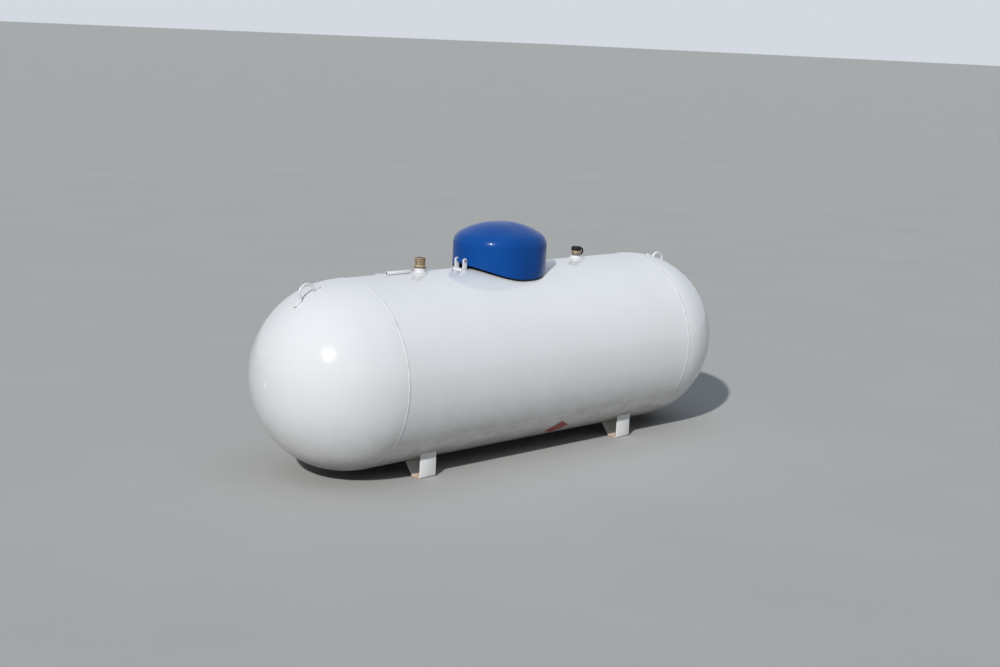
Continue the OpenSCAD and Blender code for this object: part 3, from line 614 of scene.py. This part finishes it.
def move(x, y, z):
    bpy.ops.transform.translate(value=(x, y, z))


def resize(x, y, z, about=(0, 0, 0)):
    bpy.ops.transform.resize(value=(x, y, z), center_override=about)


def rotate(angle, axis, about=(0, 0, 0)):
    bpy.ops.transform.rotate(value=angle, orient_axis=axis, center_override=about)


def face_out():
    """Turns all faces of the piece in edit mode outwards."""
    pick_all()
    bpy.ops.mesh.normals_make_consistent(inside=False)


print("what is picked is pulled, moved, resized and rotated")


# %% Helpers for finishing
def modifier(piece, kind, **settings):
    """Adds a modifier with its settings and applies it."""
    alone(piece)
    made = piece.modifiers.new(kind.lower(), kind)
    for name, value in settings.items():
        setattr(made, name, value)
    bpy.ops.object.modifier_apply(modifier=made.name)


def settled(piece):
    """Puts the place, turn and scale of a piece into its mesh."""
    alone(piece)
    bpy.ops.object.transform_apply(location=True, rotation=True, scale=True)
    return piece


def copied(piece):
    """A copy with its own mesh."""
    twin = linked(piece.name, piece.data.copy())
    twin.matrix_world = piece.matrix_world.copy()
    return twin


def join(pieces):
    alone(pieces[0])
    for piece in pieces[1:]:
        piece.select_set(True)
    bpy.ops.object.join()
    return bpy.context.active_object


def finished(piece, name, body, finish, smooth=35):
    settled(piece)
    bpy.ops.object.shade_smooth_by_angle(angle=math.radians(smooth))
    piece.name = piece.data.name = name
    piece.data.materials.clear()
    piece.data.materials.append(finish.material)
    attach(piece, body)
    print(name, len(piece.data.polygons), "faces")
    return piece


print("a finished piece rides on its body")

# %% [markdown]
# CAD edges are perfectly sharp, and no painted or cast edge is. A copy of a node's mesh is merged
# into clean faces, its edges get a narrow bevel that catches the light, and the copy then stands
# for the node. The node itself isn't touched.

# %% Soften the edges of CAD nodes
def softened(node_name, width, finish, body="tank", smooth=35):
    piece = linked(node_name + "_soft", frame["nodes"][node_name].data.copy())
    edit(piece)
    bpy.ops.mesh.remove_doubles(threshold=0.00001)
    bpy.ops.mesh.dissolve_limited(angle_limit=math.radians(0.5))
    done()
    if piece.data.has_custom_normals:
        bpy.ops.mesh.customdata_custom_splitnormals_clear()
    modifier(piece, "BEVEL", width=width, segments=2, limit_method="ANGLE",
             angle_limit=math.radians(30), use_clamp_overlap=True)
    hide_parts(node_name)
    return finished(piece, node_name + "_softened", body, finish, smooth)


for leg in ("front_left_leg", "front_right_leg", "rear_left_leg", "rear_right_leg"):
    softened(leg, 0.0010, leg_enamel)
for node_name in ("hinge_bracket", "hasp_staple"):
    softened(node_name, 0.0007, tank_enamel)
softened("data_plate_bracket", 0.0007, bracket_enamel)
for node_name in ("dome_hinge_knuckle", "dome_hasp"):
    softened(node_name, 0.0006, lid_enamel, "lid")

# %% [markdown]
# ## The lid
#
# A real lid is pressed from one sheet: a low crown, a round shoulder and an upright wall whose rim
# is cut to sit over the round of the vessel. In CAD its curves are strings of short straight
# steps. Here the same section is drawn point by point by extruding a vertex, then spun half a turn
# at each end and pulled straight in between, which gives a smooth skin. The poles of the two
# spins lie on the level top of the crown, where they don't show.

# %% Draw the lid's section
WALL_H = 0.118
SHOULDER_R = 0.070
CROWN_R = 0.3807
CROWN_STEPS, SHOULDER_STEPS = 20, 16
WALL_ROWS = (0.86, 0.72, 0.58, 0.44, 0.31, 0)

reach = CROWN_R - SHOULDER_R
meets = math.acos((LID_R - SHOULDER_R) / reach)
crown_z = WALL_H - reach * math.sin(meets)
section = [(CROWN_R * math.cos(a), crown_z + CROWN_R * math.sin(a))
           for a in (math.pi / 2 + (meets - math.pi / 2) * i / CROWN_STEPS for i in range(CROWN_STEPS + 1))]
section += [(LID_R - SHOULDER_R + SHOULDER_R * math.cos(a), WALL_H + SHOULDER_R * math.sin(a))
            for a in (meets * (1 - i / SHOULDER_STEPS) for i in range(1, SHOULDER_STEPS + 1))]
section += [(LID_R, WALL_H * share) for share in WALL_ROWS]

lid = added(bpy.ops.mesh.primitive_plane_add, size=0.001, location=(0, 0, 0))
edit(lid)
bpy.ops.mesh.merge(type="CENTER")
move(LID_X - LID_STRAIGHT / 2, 0, CREST_Z + section[0][1])
for (r0, z0), (r1, z1) in zip(section, section[1:]):
    pull(0, r1 - r0, z1 - z0)
done()
print("lid section", len(lid.data.vertices), "points")

# %% Spin the section round both ends
LID_STEPS = 72

edit(lid)
for end in (-1, 1):
    middle = (LID_X + end * LID_STRAIGHT / 2, 0, 0)
    bpy.ops.mesh.spin(steps=LID_STEPS, angle=-math.pi, center=middle, axis=(0, 0, 1))
    pull(-end * LID_STRAIGHT, 0, 0)
pick_all()
bpy.ops.mesh.remove_doubles(threshold=0.00002)
face_out()
done()
print("lid skin", len(lid.data.polygons), "faces, box", [round(v, 4) for v in lid.dimensions])

# %% [markdown]
# The rim follows the vessel, and is trimmed a little higher towards the hinge. A cylinder larger
# than the tank by the rim's gap, tipped by one degree, stands in for it. A Shrinkwrap modifier on
# the rim's vertices alone drops them straight down onto it. Solidify then gives the sheet its
# thickness, and a narrow bevel rounds the cut edge.

# %% Fit the rim to the vessel's round
LID_T = 0.0025
RIM_GAP = 0.012
RIM_SLOPE = math.radians(1)


def drop_onto_round(piece, radius, centre_z, tip=None, vertex_group=""):
    """Drops a piece, or a group of its vertices, straight down onto a cylinder along X."""
    seat = added(bpy.ops.mesh.primitive_cylinder_add, vertices=720, radius=radius, depth=4,
                 rotation=(0, math.pi / 2, 0), location=(0, 0, centre_z))
    if tip:
        seat.matrix_world = tip @ seat.matrix_world
    modifier(piece, "SHRINKWRAP", target=seat, wrap_method="PROJECT", vertex_group=vertex_group,
             use_project_z=True, use_positive_direction=True, use_negative_direction=True)
    bpy.data.objects.remove(seat)


hinge_side_up = (Matrix.Translation((LID_RIGHT, 0, CREST_Z)) @ Matrix.Rotation(RIM_SLOPE, 4, "Y")
                 @ Matrix.Translation((-LID_RIGHT, 0, -CREST_Z)))
rim = lid.vertex_groups.new(name="rim")
rim.add([v.index for v in lid.data.vertices if v.co.z < CREST_Z + 0.001], 1.0, "REPLACE")
drop_onto_round(lid, TANK_R + RIM_GAP, AXIS_Z, hinge_side_up, "rim")
modifier(lid, "SOLIDIFY", thickness=LID_T, offset=-1.0, use_even_offset=True)
modifier(lid, "BEVEL", width=0.0008, segments=2, limit_method="ANGLE", angle_limit=math.radians(50))
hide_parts("dome_lid")
finished(lid, "pressed_lid", "lid", lid_enamel, smooth=40)

# %% [markdown]
# ## Welds
#
# A weld is laid as a row of small overlapping puddles. One puddle is modelled as a short tube
# that swells in its middle. An Array modifier repeats it end to end with its rings merged, and a
# Curve modifier lays the row along a guide. Round a leg or a bracket that guide is a rectangle
# with rounded corners, laid on the shell.

# %% Lay a bead along a guide
RIPPLE = 0.0042
SWELL, LEAN, FREE_END = 1.14, 0.18, 0.3


def repeat_along_x(piece, count, pitch):
    """Repeats a ring of weld end to end, with its rims merged."""
    modifier(piece, "ARRAY", count=count, use_relative_offset=False, use_constant_offset=True,
             constant_offset_displace=(pitch, 0, 0), use_merge_vertices=True, merge_threshold=0.0002)


def bead(points, radius, closed=False):
    """A rippled bead along points, half sunk in what it joins. Its free ends taper."""
    guide_curve = bpy.data.curves.new("guide", "CURVE")
    guide_curve.dimensions = "3D"
    line = guide_curve.splines.new("POLY")
    line.points.add(len(points) - 1)
    for point, place in zip(line.points, points):
        point.co = (*place, 1.0)
    if not closed:
        line.points[0].radius = line.points[-1].radius = FREE_END
    line.use_cyclic_u = closed
    guide = linked("guide", guide_curve)
    length = sum((Vector(b) - Vector(a)).length for a, b in zip(points, points[1:] + points[:1] * closed))
    count = max(3, round(length / RIPPLE))
    pitch = length / count
    piece = added(bpy.ops.mesh.primitive_cylinder_add, vertices=8, radius=radius, depth=pitch,
                  end_fill_type="NOTHING", rotation=(0, math.pi / 2, 0), location=(pitch / 2, 0, 0))
    settled(piece)
    edit(piece)
    pick(piece, "edges", lambda e: abs(e.verts[0].co.x - e.verts[1].co.x) > pitch / 2)
    bpy.ops.mesh.subdivide(number_cuts=1)
    pick(piece, "verts", lambda v: abs(v.co.x - pitch / 2) < pitch / 8)
    resize(1, SWELL, SWELL, (pitch / 2, 0, 0))
    move(pitch * LEAN, 0, 0)
    done()
    repeat_along_x(piece, count, pitch)
    modifier(piece, "CURVE", object=guide, deform_axis="POS_X")
    edit(piece)
    bpy.ops.mesh.remove_doubles(threshold=0.0003)
    bpy.ops.mesh.fill_holes(sides=0)
    face_out()
    done()
    bpy.data.objects.remove(guide)
    return piece


print("one puddle every", RIPPLE * 1000, "mm")


# %% Outlines for the beads
CORNER_R = 0.004


def rounded(x0, x1, y0, y1, spacing):
    """Points round a rectangle with rounded corners, at about an even spacing."""
    corners = []
    for cx, cy, start in ((x1, y1, 0), (x0, y1, 90), (x0, y0, 180), (x1, y0, 270)):
        mx = cx - math.copysign(CORNER_R, cx - (x0 + x1) / 2)
        my = cy - math.copysign(CORNER_R, cy - (y0 + y1) / 2)
        for turn in (0, 30, 60, 90):
            a = math.radians(start + turn)
            corners.append((mx + CORNER_R * math.cos(a), my + CORNER_R * math.sin(a)))
    points = []
    for (ax, ay), (bx, by) in zip(corners, corners[1:] + corners[:1]):
        steps = max(1, round(math.hypot(bx - ax, by - ay) / spacing))
        points += [(ax + (bx - ax) * i / steps, ay + (by - ay) * i / steps) for i in range(steps)]
    return points


def on_tank(x, y, lift=0.0, below=False):
    """A point over the shell, lifted square to it."""
    side = -1 if below else 1
    r = TANK_R + lift
    return (x, y * r / TANK_R, AXIS_Z + side * math.sqrt(TANK_R ** 2 - y ** 2) * r / TANK_R)


def loop_on_tank(x0, x1, y0, y1, below=False):
    """Points round a rounded rectangle on the shell."""
    return [on_tank(x, y, 0.0005, below) for x, y in rounded(x0, x1, y0, y1, 0.008)]


def painted(piece, name, smooth=35):
    """A finished weld on the tank."""
    return finished(piece, name, "tank", tank_enamel, smooth)


print("corners of", CORNER_R * 1000, "mm")

# %% Welds of the legs
LEG_X = 0.721
LEG_HALF_W = 0.0508
OUTER_FACES = (0.28035, 0.28670)
INNER_FACES = (0.1690, 0.1772)
LEG_BEAD_R = 0.0027
OFF_PLATE = 0.001

bead_half_w = LEG_HALF_W + OFF_PLATE
for side_name, side in (("front", -1), ("rear", 1)):
    for end_name, end in (("left", -1), ("right", 1)):
        rows = []
        for near, far in (OUTER_FACES, INNER_FACES):
            y0, y1 = sorted((side * (near - OFF_PLATE), side * (far + OFF_PLATE)))
            outline = loop_on_tank(end * LEG_X - bead_half_w, end * LEG_X + bead_half_w, y0, y1, below=True)
            rows.append(bead(outline, LEG_BEAD_R, closed=True))
        painted(join(rows), f"{side_name}_{end_name}_leg_welds")

# %% [markdown]
# The lugs are bars bent to a loop, laid on the round ends and welded along both sides of each
# tail. Their tails differ in length, and the right one sits a touch to the far side, so each is
# given by its own numbers.

# %% Welds of the lifting lugs
BAR_R = 0.00635
ARCH_FOOT = 0.050
TAIL_STEPS = 10
LUG_BEAD_R = 0.0030


def on_end(side, latitude, turn, along, across, lift):
    """A point on a round end, given from a lug's middle, along and across its bar."""
    a = math.radians(latitude) + along / TANK_R
    r = TANK_R + lift
    x, z = r * math.sin(a), r * math.cos(a)
    t = math.radians(turn)
    return (side * (HEAD_X + x), across * math.cos(t) + z * math.sin(t),
            AXIS_Z + z * math.cos(t) - across * math.sin(t))


def lug_welds(name, side, latitude, turn, low_tail, high_tail):
    rows = []
    for first, length in ((ARCH_FOOT, low_tail), (-ARCH_FOOT, -high_tail)):
        for across in (-BAR_R * 0.85, BAR_R * 0.85):
            points = [on_end(side, latitude, turn, first + length * i / TAIL_STEPS, across, 0.0012)
                      for i in range(TAIL_STEPS + 1)]
            rows.append(bead(points, LUG_BEAD_R))
    painted(join(rows), name)


lug_welds("left_lug_welds", -1, 30, 0, 0.036, 0.024)
lug_welds("right_lug_welds", 1, 30.5, 3, 0.036, 0.038)

# %% [markdown]
# On the crest, the hinge's bracket and the hasp's staple are welded all round. The plate's
# bracket only has three short stitches along its far edge.

# %% Welds of the small brackets on the crest
HINGE_X = -0.2974
STAPLE_X = 0.2668
PLATE_X = -0.7095
STITCH_Y = 0.0972
STITCH_STARTS = (-0.058, -0.008, 0.042)

for name, outline, radius in (
        ("hinge_bracket_weld", (HINGE_X - 0.0265, HINGE_X + 0.0140, -0.0290, 0.0290), 0.0026),
        ("hasp_staple_weld", (STAPLE_X - 0.0150, STAPLE_X + 0.0150, -0.0042, 0.0042), 0.0024)):
    painted(bead(loop_on_tank(*outline), radius, closed=True), name)

stitches = [bead([on_tank(PLATE_X + start + 0.002 * i, STITCH_Y, 0.0012) for i in range(9)], 0.0022)
            for start in STITCH_STARTS]
painted(join(stitches), "plate_bracket_welds")

# %% [markdown]
# The knuckle's pad and the hasp's flange are welded to the lid's upright wall, so their beads run
# round a rectangle on that wall and are painted blue with the lid.

# %% Welds on the lid
def loop_on_wall(end, half_w, z0, z1):
    """Points round a rounded rectangle on the lid's wall, at its left (-1) or right (1) end."""
    middle = LID_X + end * LID_STRAIGHT / 2
    return [(middle + end * math.sqrt((LID_R + 0.0004) ** 2 - y ** 2), y, CREST_Z + z)
            for y, z in rounded(-half_w, half_w, z0, z1, 0.006)]


for name, outline in (("knuckle_weld", (-1, 0.0232, 0.0230, 0.0685)),
                      ("hasp_weld", (1, 0.0227, 0.0233, 0.0587))):
    weld = bead(loop_on_wall(*outline), 0.0020, closed=True)
    finished(weld, name, "lid", lid_enamel)

# %% [markdown]
# The two girth seams and the long seam are machine laid, with even puddles. The girth bead's oval
# section is drawn once, turned through one puddle's angle in two steps, its middle ring swollen,
# and an Array modifier turns copies of it right round the tank by the angle of an empty. The long
# seam is made straight over the crest in the same way, and then turned down to its place.

# %% Girth seams
GIRTH_HALF_W = 0.0085
GIRTH_TOP = TANK_R + 0.0011
GIRTH_SUNK = 0.0020
PUDDLES = 560
RING = 14
SEAM_SWELL = 1.04

middle = (0, 0, AXIS_Z)
step = 2 * math.pi / PUDDLES
girth = added(bpy.ops.mesh.primitive_circle_add, vertices=RING, radius=1, location=middle)
edit(girth)
rotate(math.pi / 2, "X", middle)
resize(GIRTH_HALF_W, 1, GIRTH_TOP - TANK_R + GIRTH_SUNK, middle)
move(0, 0, TANK_R - GIRTH_SUNK)
bpy.ops.mesh.spin(steps=2, angle=step, center=middle, axis=(1, 0, 0))
swell = pick(girth, "verts", lambda v: abs(abs(math.atan2(v.co.y, v.co.z)) - step / 2) < step / 8)
resize(SEAM_SWELL, 1, 1, middle)
move(0, 0, 0.0003)
done()
turner = linked("turner")
turner.location = middle
turner.rotation_euler = (-step, 0, 0)
modifier(girth, "ARRAY", count=PUDDLES, use_relative_offset=False, use_object_offset=True,
         offset_object=turner, use_merge_vertices=True, use_merge_vertices_cap=True, merge_threshold=0.0002)
bpy.data.objects.remove(turner)
edit(girth)
bpy.ops.mesh.remove_doubles(threshold=0.0002)
face_out()
move(SEAM_X, 0, 0)
done()
print("puddle rings", len(girth.data.vertices) / RING, "of", PUDDLES * 2, "swollen", swell)

other_girth = copied(girth)
other_girth.location = (-2 * SEAM_X, 0, AXIS_Z)
painted(girth, "right_girth_seam", smooth=50)
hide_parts("right_girth_weld")
painted(other_girth, "left_girth_seam", smooth=50)
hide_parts("left_girth_weld")

# %% Long seam
LONG_L = 2.021
LONG_AT = math.radians(128)
LONG_PUDDLES = 560
LONG_HALF_W, LONG_HALF_H = 0.0065, 0.0020

pitch = LONG_L / LONG_PUDDLES
long_seam = added(bpy.ops.mesh.primitive_circle_add, vertices=12, radius=1, location=(0, 0, 0))
edit(long_seam)
rotate(math.pi / 2, "Y")
resize(1, LONG_HALF_W, LONG_HALF_H)
move(-LONG_L / 2, 0, CREST_Z - 0.0012)
for _ in range(2):
    pull(pitch / 2, 0, 0)
pick(long_seam, "verts", lambda v: abs(v.co.x + LONG_L / 2 - pitch / 2) < pitch / 8)
resize(1, SEAM_SWELL, 1, (0, 0, CREST_Z))
move(pitch * 0.15, 0, 0.0002)
done()
repeat_along_x(long_seam, LONG_PUDDLES, pitch)
edit(long_seam)
bpy.ops.mesh.fill_holes(sides=0)
face_out()
done()
long_seam.location = Vector(middle) - Matrix.Rotation(LONG_AT, 3, "X") @ Vector(middle)
long_seam.rotation_euler = (LONG_AT, 0, 0)
painted(long_seam, "long_seam", smooth=50)
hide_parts("long_seam_weld")

# %% [markdown]
# ## Valves, gauge and their small parts
#
# The valves are turned and milled from bar, the couplings are forged and the lugs bent. Their
# nodes only need soft edges, each of a width that suits the piece.

# %% Soften the valves and lugs
for node_name in ("liquid_valve_coupling", "relief_valve_coupling", "float_gauge_coupling",
                  "fill_valve_coupling", "service_valve_coupling", "vapor_valve_coupling"):
    softened(node_name, 0.0007, fitting_enamel)
softened("left_lifting_lug", 0.0012, lug_enamel, smooth=50)
softened("right_lifting_lug", 0.0012, tank_enamel, smooth=50)
for node_name, width, finish in (
        ("liquid_valve_body", 0.0006, old_brass), ("liquid_valve_cap", 0.0004, old_brass),
        ("relief_valve_body", 0.0006, relief_brass), ("relief_valve_cap", 0.0008, rubber),
        ("relief_cap_strap", 0.0006, rubber), ("float_gauge_head", 0.0007, clean_brass),
        ("float_gauge_dial", 0.0008, plastic), ("fill_valve_body", 0.0006, clean_brass),
        ("fill_valve_cap", 0.0004, clean_brass), ("service_valve_body", 0.0005, clean_brass),
        ("service_valve_handwheel", 0.0010, wheel_enamel), ("service_valve_plug", 0.0005, clean_brass),
        ("vapor_valve_body", 0.0006, clean_brass), ("vapor_valve_cap", 0.0004, plastic),
        ("hinge_pin", 0.0008, zinc)):
    softened(node_name, width, finish)

# %% [markdown]
# Small parts are modelled at the origin, standing up, and then moved out onto the shell: up by
# the vessel's radius and over by the angle that brings them square to it, as the CAD part does.

# %% Stand a piece square to the shell
def out_at(x, turn, radius, dx=0.0, dy=0.0):
    """The move out from the tank's axis by a radius, turned about that axis."""
    return (Matrix.Translation((x, 0, AXIS_Z)) @ Matrix.Rotation(turn, 4, "X")
            @ Matrix.Translation((dx, dy, radius)))


def stand(piece, x, y, height, dx=0.0, dy=0.0):
    """Moves a piece to a height over the shell at (x, y), and by dx and dy in its own plane."""
    piece.matrix_world = out_at(x, -math.asin(y / TANK_R), TANK_R + height, dx, dy) @ piece.matrix_world
    return piece


def drum(radius, height, vertices, edge, z=0.0):
    """A solid drum standing on z, its top face inset and raised so that its edge is turned off."""
    wall = height - edge * 0.6
    piece = added(bpy.ops.mesh.primitive_cylinder_add, vertices=vertices, radius=radius, depth=wall,
                  location=(0, 0, z + wall / 2))
    edit(piece)
    pick(piece, "faces", lambda f: f.normal.z > 0.9)
    bpy.ops.mesh.inset(thickness=edge, depth=edge * 0.6)
    done()
    return settled(piece)


print("small parts are drums, stood on the shell")

# %% [markdown]
# Four hexagon bolts hold the gauge's flange, each with its washer and the end of its shank. No
# two were turned to the same angle, so each copy gets its own.

# %% Bolts of the gauge flange
GAUGE_X = -0.020
FLANGE_TOP = 0.036
BOLT_CIRCLE_R = 0.0370

bolt = join([drum(0.0068, 0.0014, 24, 0.0003), drum(0.0058, 0.0052, 6, 0.0009, z=0.0014),
             drum(0.0030, 0.0022, 20, 0.0004, z=0.0066)])
bolts = []
for i in range(4):
    a = math.radians(45 + 90 * i)
    each = copied(bolt)
    each.matrix_world = Matrix.Rotation(math.radians(11 + 23 * i), 4, "Z") @ each.matrix_world
    stand(each, GAUGE_X, 0, FLANGE_TOP, BOLT_CIRCLE_R * math.cos(a), BOLT_CIRCLE_R * math.sin(a))
    bolts.append(settled(each))
bpy.data.objects.remove(bolt)
finished(join(bolts), "gauge_flange_bolts", "tank", zinc)

# %% [markdown]
# The dial of a float gauge is a pale disc with plain marks round it and a pointer. The marks are
# thin printed bars, so here they are very shallow blocks. A short one and a long one are made,
# and copies of them are turned to their places.

# %% Dial of the gauge
DIAL_Z = 0.052
DIAL_T = 0.0008
MARKS_TO = 0.0215
SHORT_MARK, LONG_MARK = (0.0005, 0.0028), (0.0008, 0.0048)

dial_white = moulded("dial_face", (0.72, 0.70, 0.64), (0.60, 0.56, 0.47), 300, 0.35)
finished(stand(drum(0.0236, DIAL_T, 64, 0.0004), GAUGE_X, 0, DIAL_Z), "dial_plate", "tank", dial_white)


def strip(width, length):
    """A small plane pulled out along Y, left in edit mode."""
    piece = added(bpy.ops.mesh.primitive_plane_add, size=width)
    edit(piece)
    pick(piece, "edges", lambda e: min(v.co.y for v in e.verts) > 0.0001)
    move(0, length, 0)
    return piece


def thicken(height):
    """Gives the strip in edit mode a height."""
    pick_all()
    pull(0, 0, height)
    face_out()


kinds = []
for width, length in (SHORT_MARK, LONG_MARK):
    kinds.append(strip(width, length))
    thicken(0.0001)
    move(0, MARKS_TO - length, 0)
    done()
marks = []
for i in range(21):
    each = copied(kinds[i % 5 == 0])
    each.matrix_world = Matrix.Rotation(math.radians(-130 + 13 * i), 4, "Z")
    marks.append(settled(each))
for kind in kinds:
    bpy.data.objects.remove(kind)
finished(stand(join(marks), GAUGE_X, 0, DIAL_Z + DIAL_T), "dial_marks", "tank", plastic)

# %% Pointer of the dial
POINTER_W, POINTER_L, POINTER_TAIL = 0.0032, 0.0150, 0.0040
POINTER_AT = math.radians(62)

dial_red = moulded("pointer_red", (0.45, 0.035, 0.025), (0.50, 0.10, 0.07), 300, 0.40)
pointer = strip(POINTER_W, POINTER_L)
resize(0.18, 1, 1, (0, POINTER_W / 2 + POINTER_L, 0))
pick(pointer, "edges", lambda e: max(v.co.y for v in e.verts) < 0.0001)
move(0, -POINTER_TAIL, 0)
thicken(0.0005)
rotate(POINTER_AT, "Z")
done()
pointer = join([pointer, drum(0.0030, 0.0008, 24, 0.0003)])
finished(stand(pointer, GAUGE_X, 0, DIAL_Z + DIAL_T + 0.0001), "dial_pointer", "tank", dial_red)

# %% [markdown]
# The handwheel is held by a nut on its stem, over a washer. They stand in the wheel's hollow, and
# its floor is as high as all that lies below it.

# %% Nut of the handwheel
SERVICE = (-0.115, 0.055)
COUPLING_H, BLOCK_H, BONNET_H, STEM_H, HUB_H = 0.022, 0.044, 0.014, 0.012, 0.009

nut = join([drum(0.0085, 0.0012, 32, 0.0003), drum(0.0072, 0.0058, 6, 0.0010, z=0.0012),
            drum(0.0034, 0.0026, 24, 0.0006, z=0.0070)])
stand(nut, *SERVICE, COUPLING_H + BLOCK_H + BONNET_H + STEM_H + HUB_H)
finished(nut, "handwheel_nut", "tank", zinc)

# %% [markdown]
# ## The data plate
#
# The real plate is a thin stamped sheet riveted to its bracket, with a raised border. It is kept
# bare here. A flat grid is dropped onto a round of the plate's radius, and only then are the
# border and the step inside it inset, so that both follow the curve.

# %% Data plate
PLATE_R = TANK_R + 0.0053
PLATE_L, PLATE_T = 0.132, 0.0010
PLATE_FROM, PLATE_TO = 0.0260, 0.0870
BORDER_W, STEP_W, STEP_H = 0.0035, 0.0007, 0.0005

plate = added(bpy.ops.mesh.primitive_grid_add, x_subdivisions=12, y_subdivisions=10, size=1)
edit(plate)
resize(PLATE_L, PLATE_TO - PLATE_FROM, 1)
move(PLATE_X, 0, 0.02)
done()
drop_onto_round(plate, PLATE_R, -PLATE_R)
edit(plate)
bpy.ops.mesh.inset(thickness=BORDER_W, depth=0.0)
bpy.ops.mesh.inset(thickness=STEP_W, depth=-STEP_H)
done()
modifier(plate, "SOLIDIFY", thickness=PLATE_T, offset=-1.0)
plate.matrix_world = out_at(0, -(PLATE_FROM + PLATE_TO) / 2 / TANK_R, PLATE_R)
finished(plate, "riveted_data_plate", "tank", stainless)
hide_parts("data_plate")

# %% Rivets of the data plate
RIVET_R = 0.0024
RIVET_X = 0.0585
RIVET_IN = 0.0075
RIVET_CUT = (0, 0, 0.0003)

rivet = added(bpy.ops.mesh.primitive_uv_sphere_add, segments=20, ring_count=12, radius=RIVET_R)
edit(rivet)
bpy.ops.mesh.bisect(plane_co=RIVET_CUT, plane_no=(0, 0, 1), clear_inner=True, use_fill=True)
pick_all()
resize(1, 1, 0.62, RIVET_CUT)
done()
rivets = []
for x in (PLATE_X - RIVET_X, PLATE_X + RIVET_X):
    for along in (PLATE_FROM + RIVET_IN, PLATE_TO - RIVET_IN):
        each = copied(rivet)
        each.matrix_world = out_at(x, -along / TANK_R, PLATE_R - 0.0006)
        rivets.append(settled(each))
bpy.data.objects.remove(rivet)
finished(join(rivets), "data_plate_rivets", "tank", zinc, smooth=60)

# %% [markdown]
# ## The faded diamond
#
# A square of red vinyl is stuck low on the near side, on its corner. Sun has bleached it in
# patches, and it has worn pale in others. It carries nothing. Like the plate it is dropped onto
# the round of the shell, and then turned about the tank's axis to its place.

# %% Red vinyl
vinyl = Finish("red_vinyl", {"IOR": 1.45})
vinyl_fade = vinyl.noise(14, 5, 0.6).ramp(0.30, 0.72)
vinyl_wear = vinyl.noise(75, 5, 0.7).ramp(0.60, 0.78)
vinyl_red = vinyl.blend(vinyl_fade * 0.6, (0.28, 0.034, 0.024), (0.36, 0.090, 0.070))
vinyl_red = vinyl.blend(vinyl_wear * 0.40, vinyl_red, (0.50, 0.42, 0.38))
vinyl.look(vinyl_red, 0.36 + vinyl_fade * 0.22)
vinyl.bump(vinyl.noise(120, 3), 0.0003, 0.4)
print("vinyl", len(vinyl.tree.nodes), "nodes")

# %% Diamond
DIAMOND_X = 0.187
DIAMOND_AT = math.radians(143.5)
DIAMOND_SIDE = 0.112
DIAMOND_TURN = math.radians(33)
VINYL_T, OFF_SHELL = 0.0003, 0.0007

diamond = added(bpy.ops.mesh.primitive_grid_add, x_subdivisions=24, y_subdivisions=24, size=DIAMOND_SIDE)
edit(diamond)
pick(diamond, "verts", lambda v: min(abs(v.co.x), abs(v.co.y)) > DIAMOND_SIDE * 0.499)
bpy.ops.mesh.bevel(offset=0.0040, segments=4, affect="VERTICES")
pick_all()
rotate(DIAMOND_TURN, "Z")
move(DIAMOND_X, 0, 0.02)
done()
drop_onto_round(diamond, TANK_R + OFF_SHELL, -TANK_R)
modifier(diamond, "SOLIDIFY", thickness=VINYL_T, offset=-1.0)
diamond.matrix_world = out_at(0, DIAMOND_AT, TANK_R)
finished(diamond, "red_diamond", "tank", vinyl)
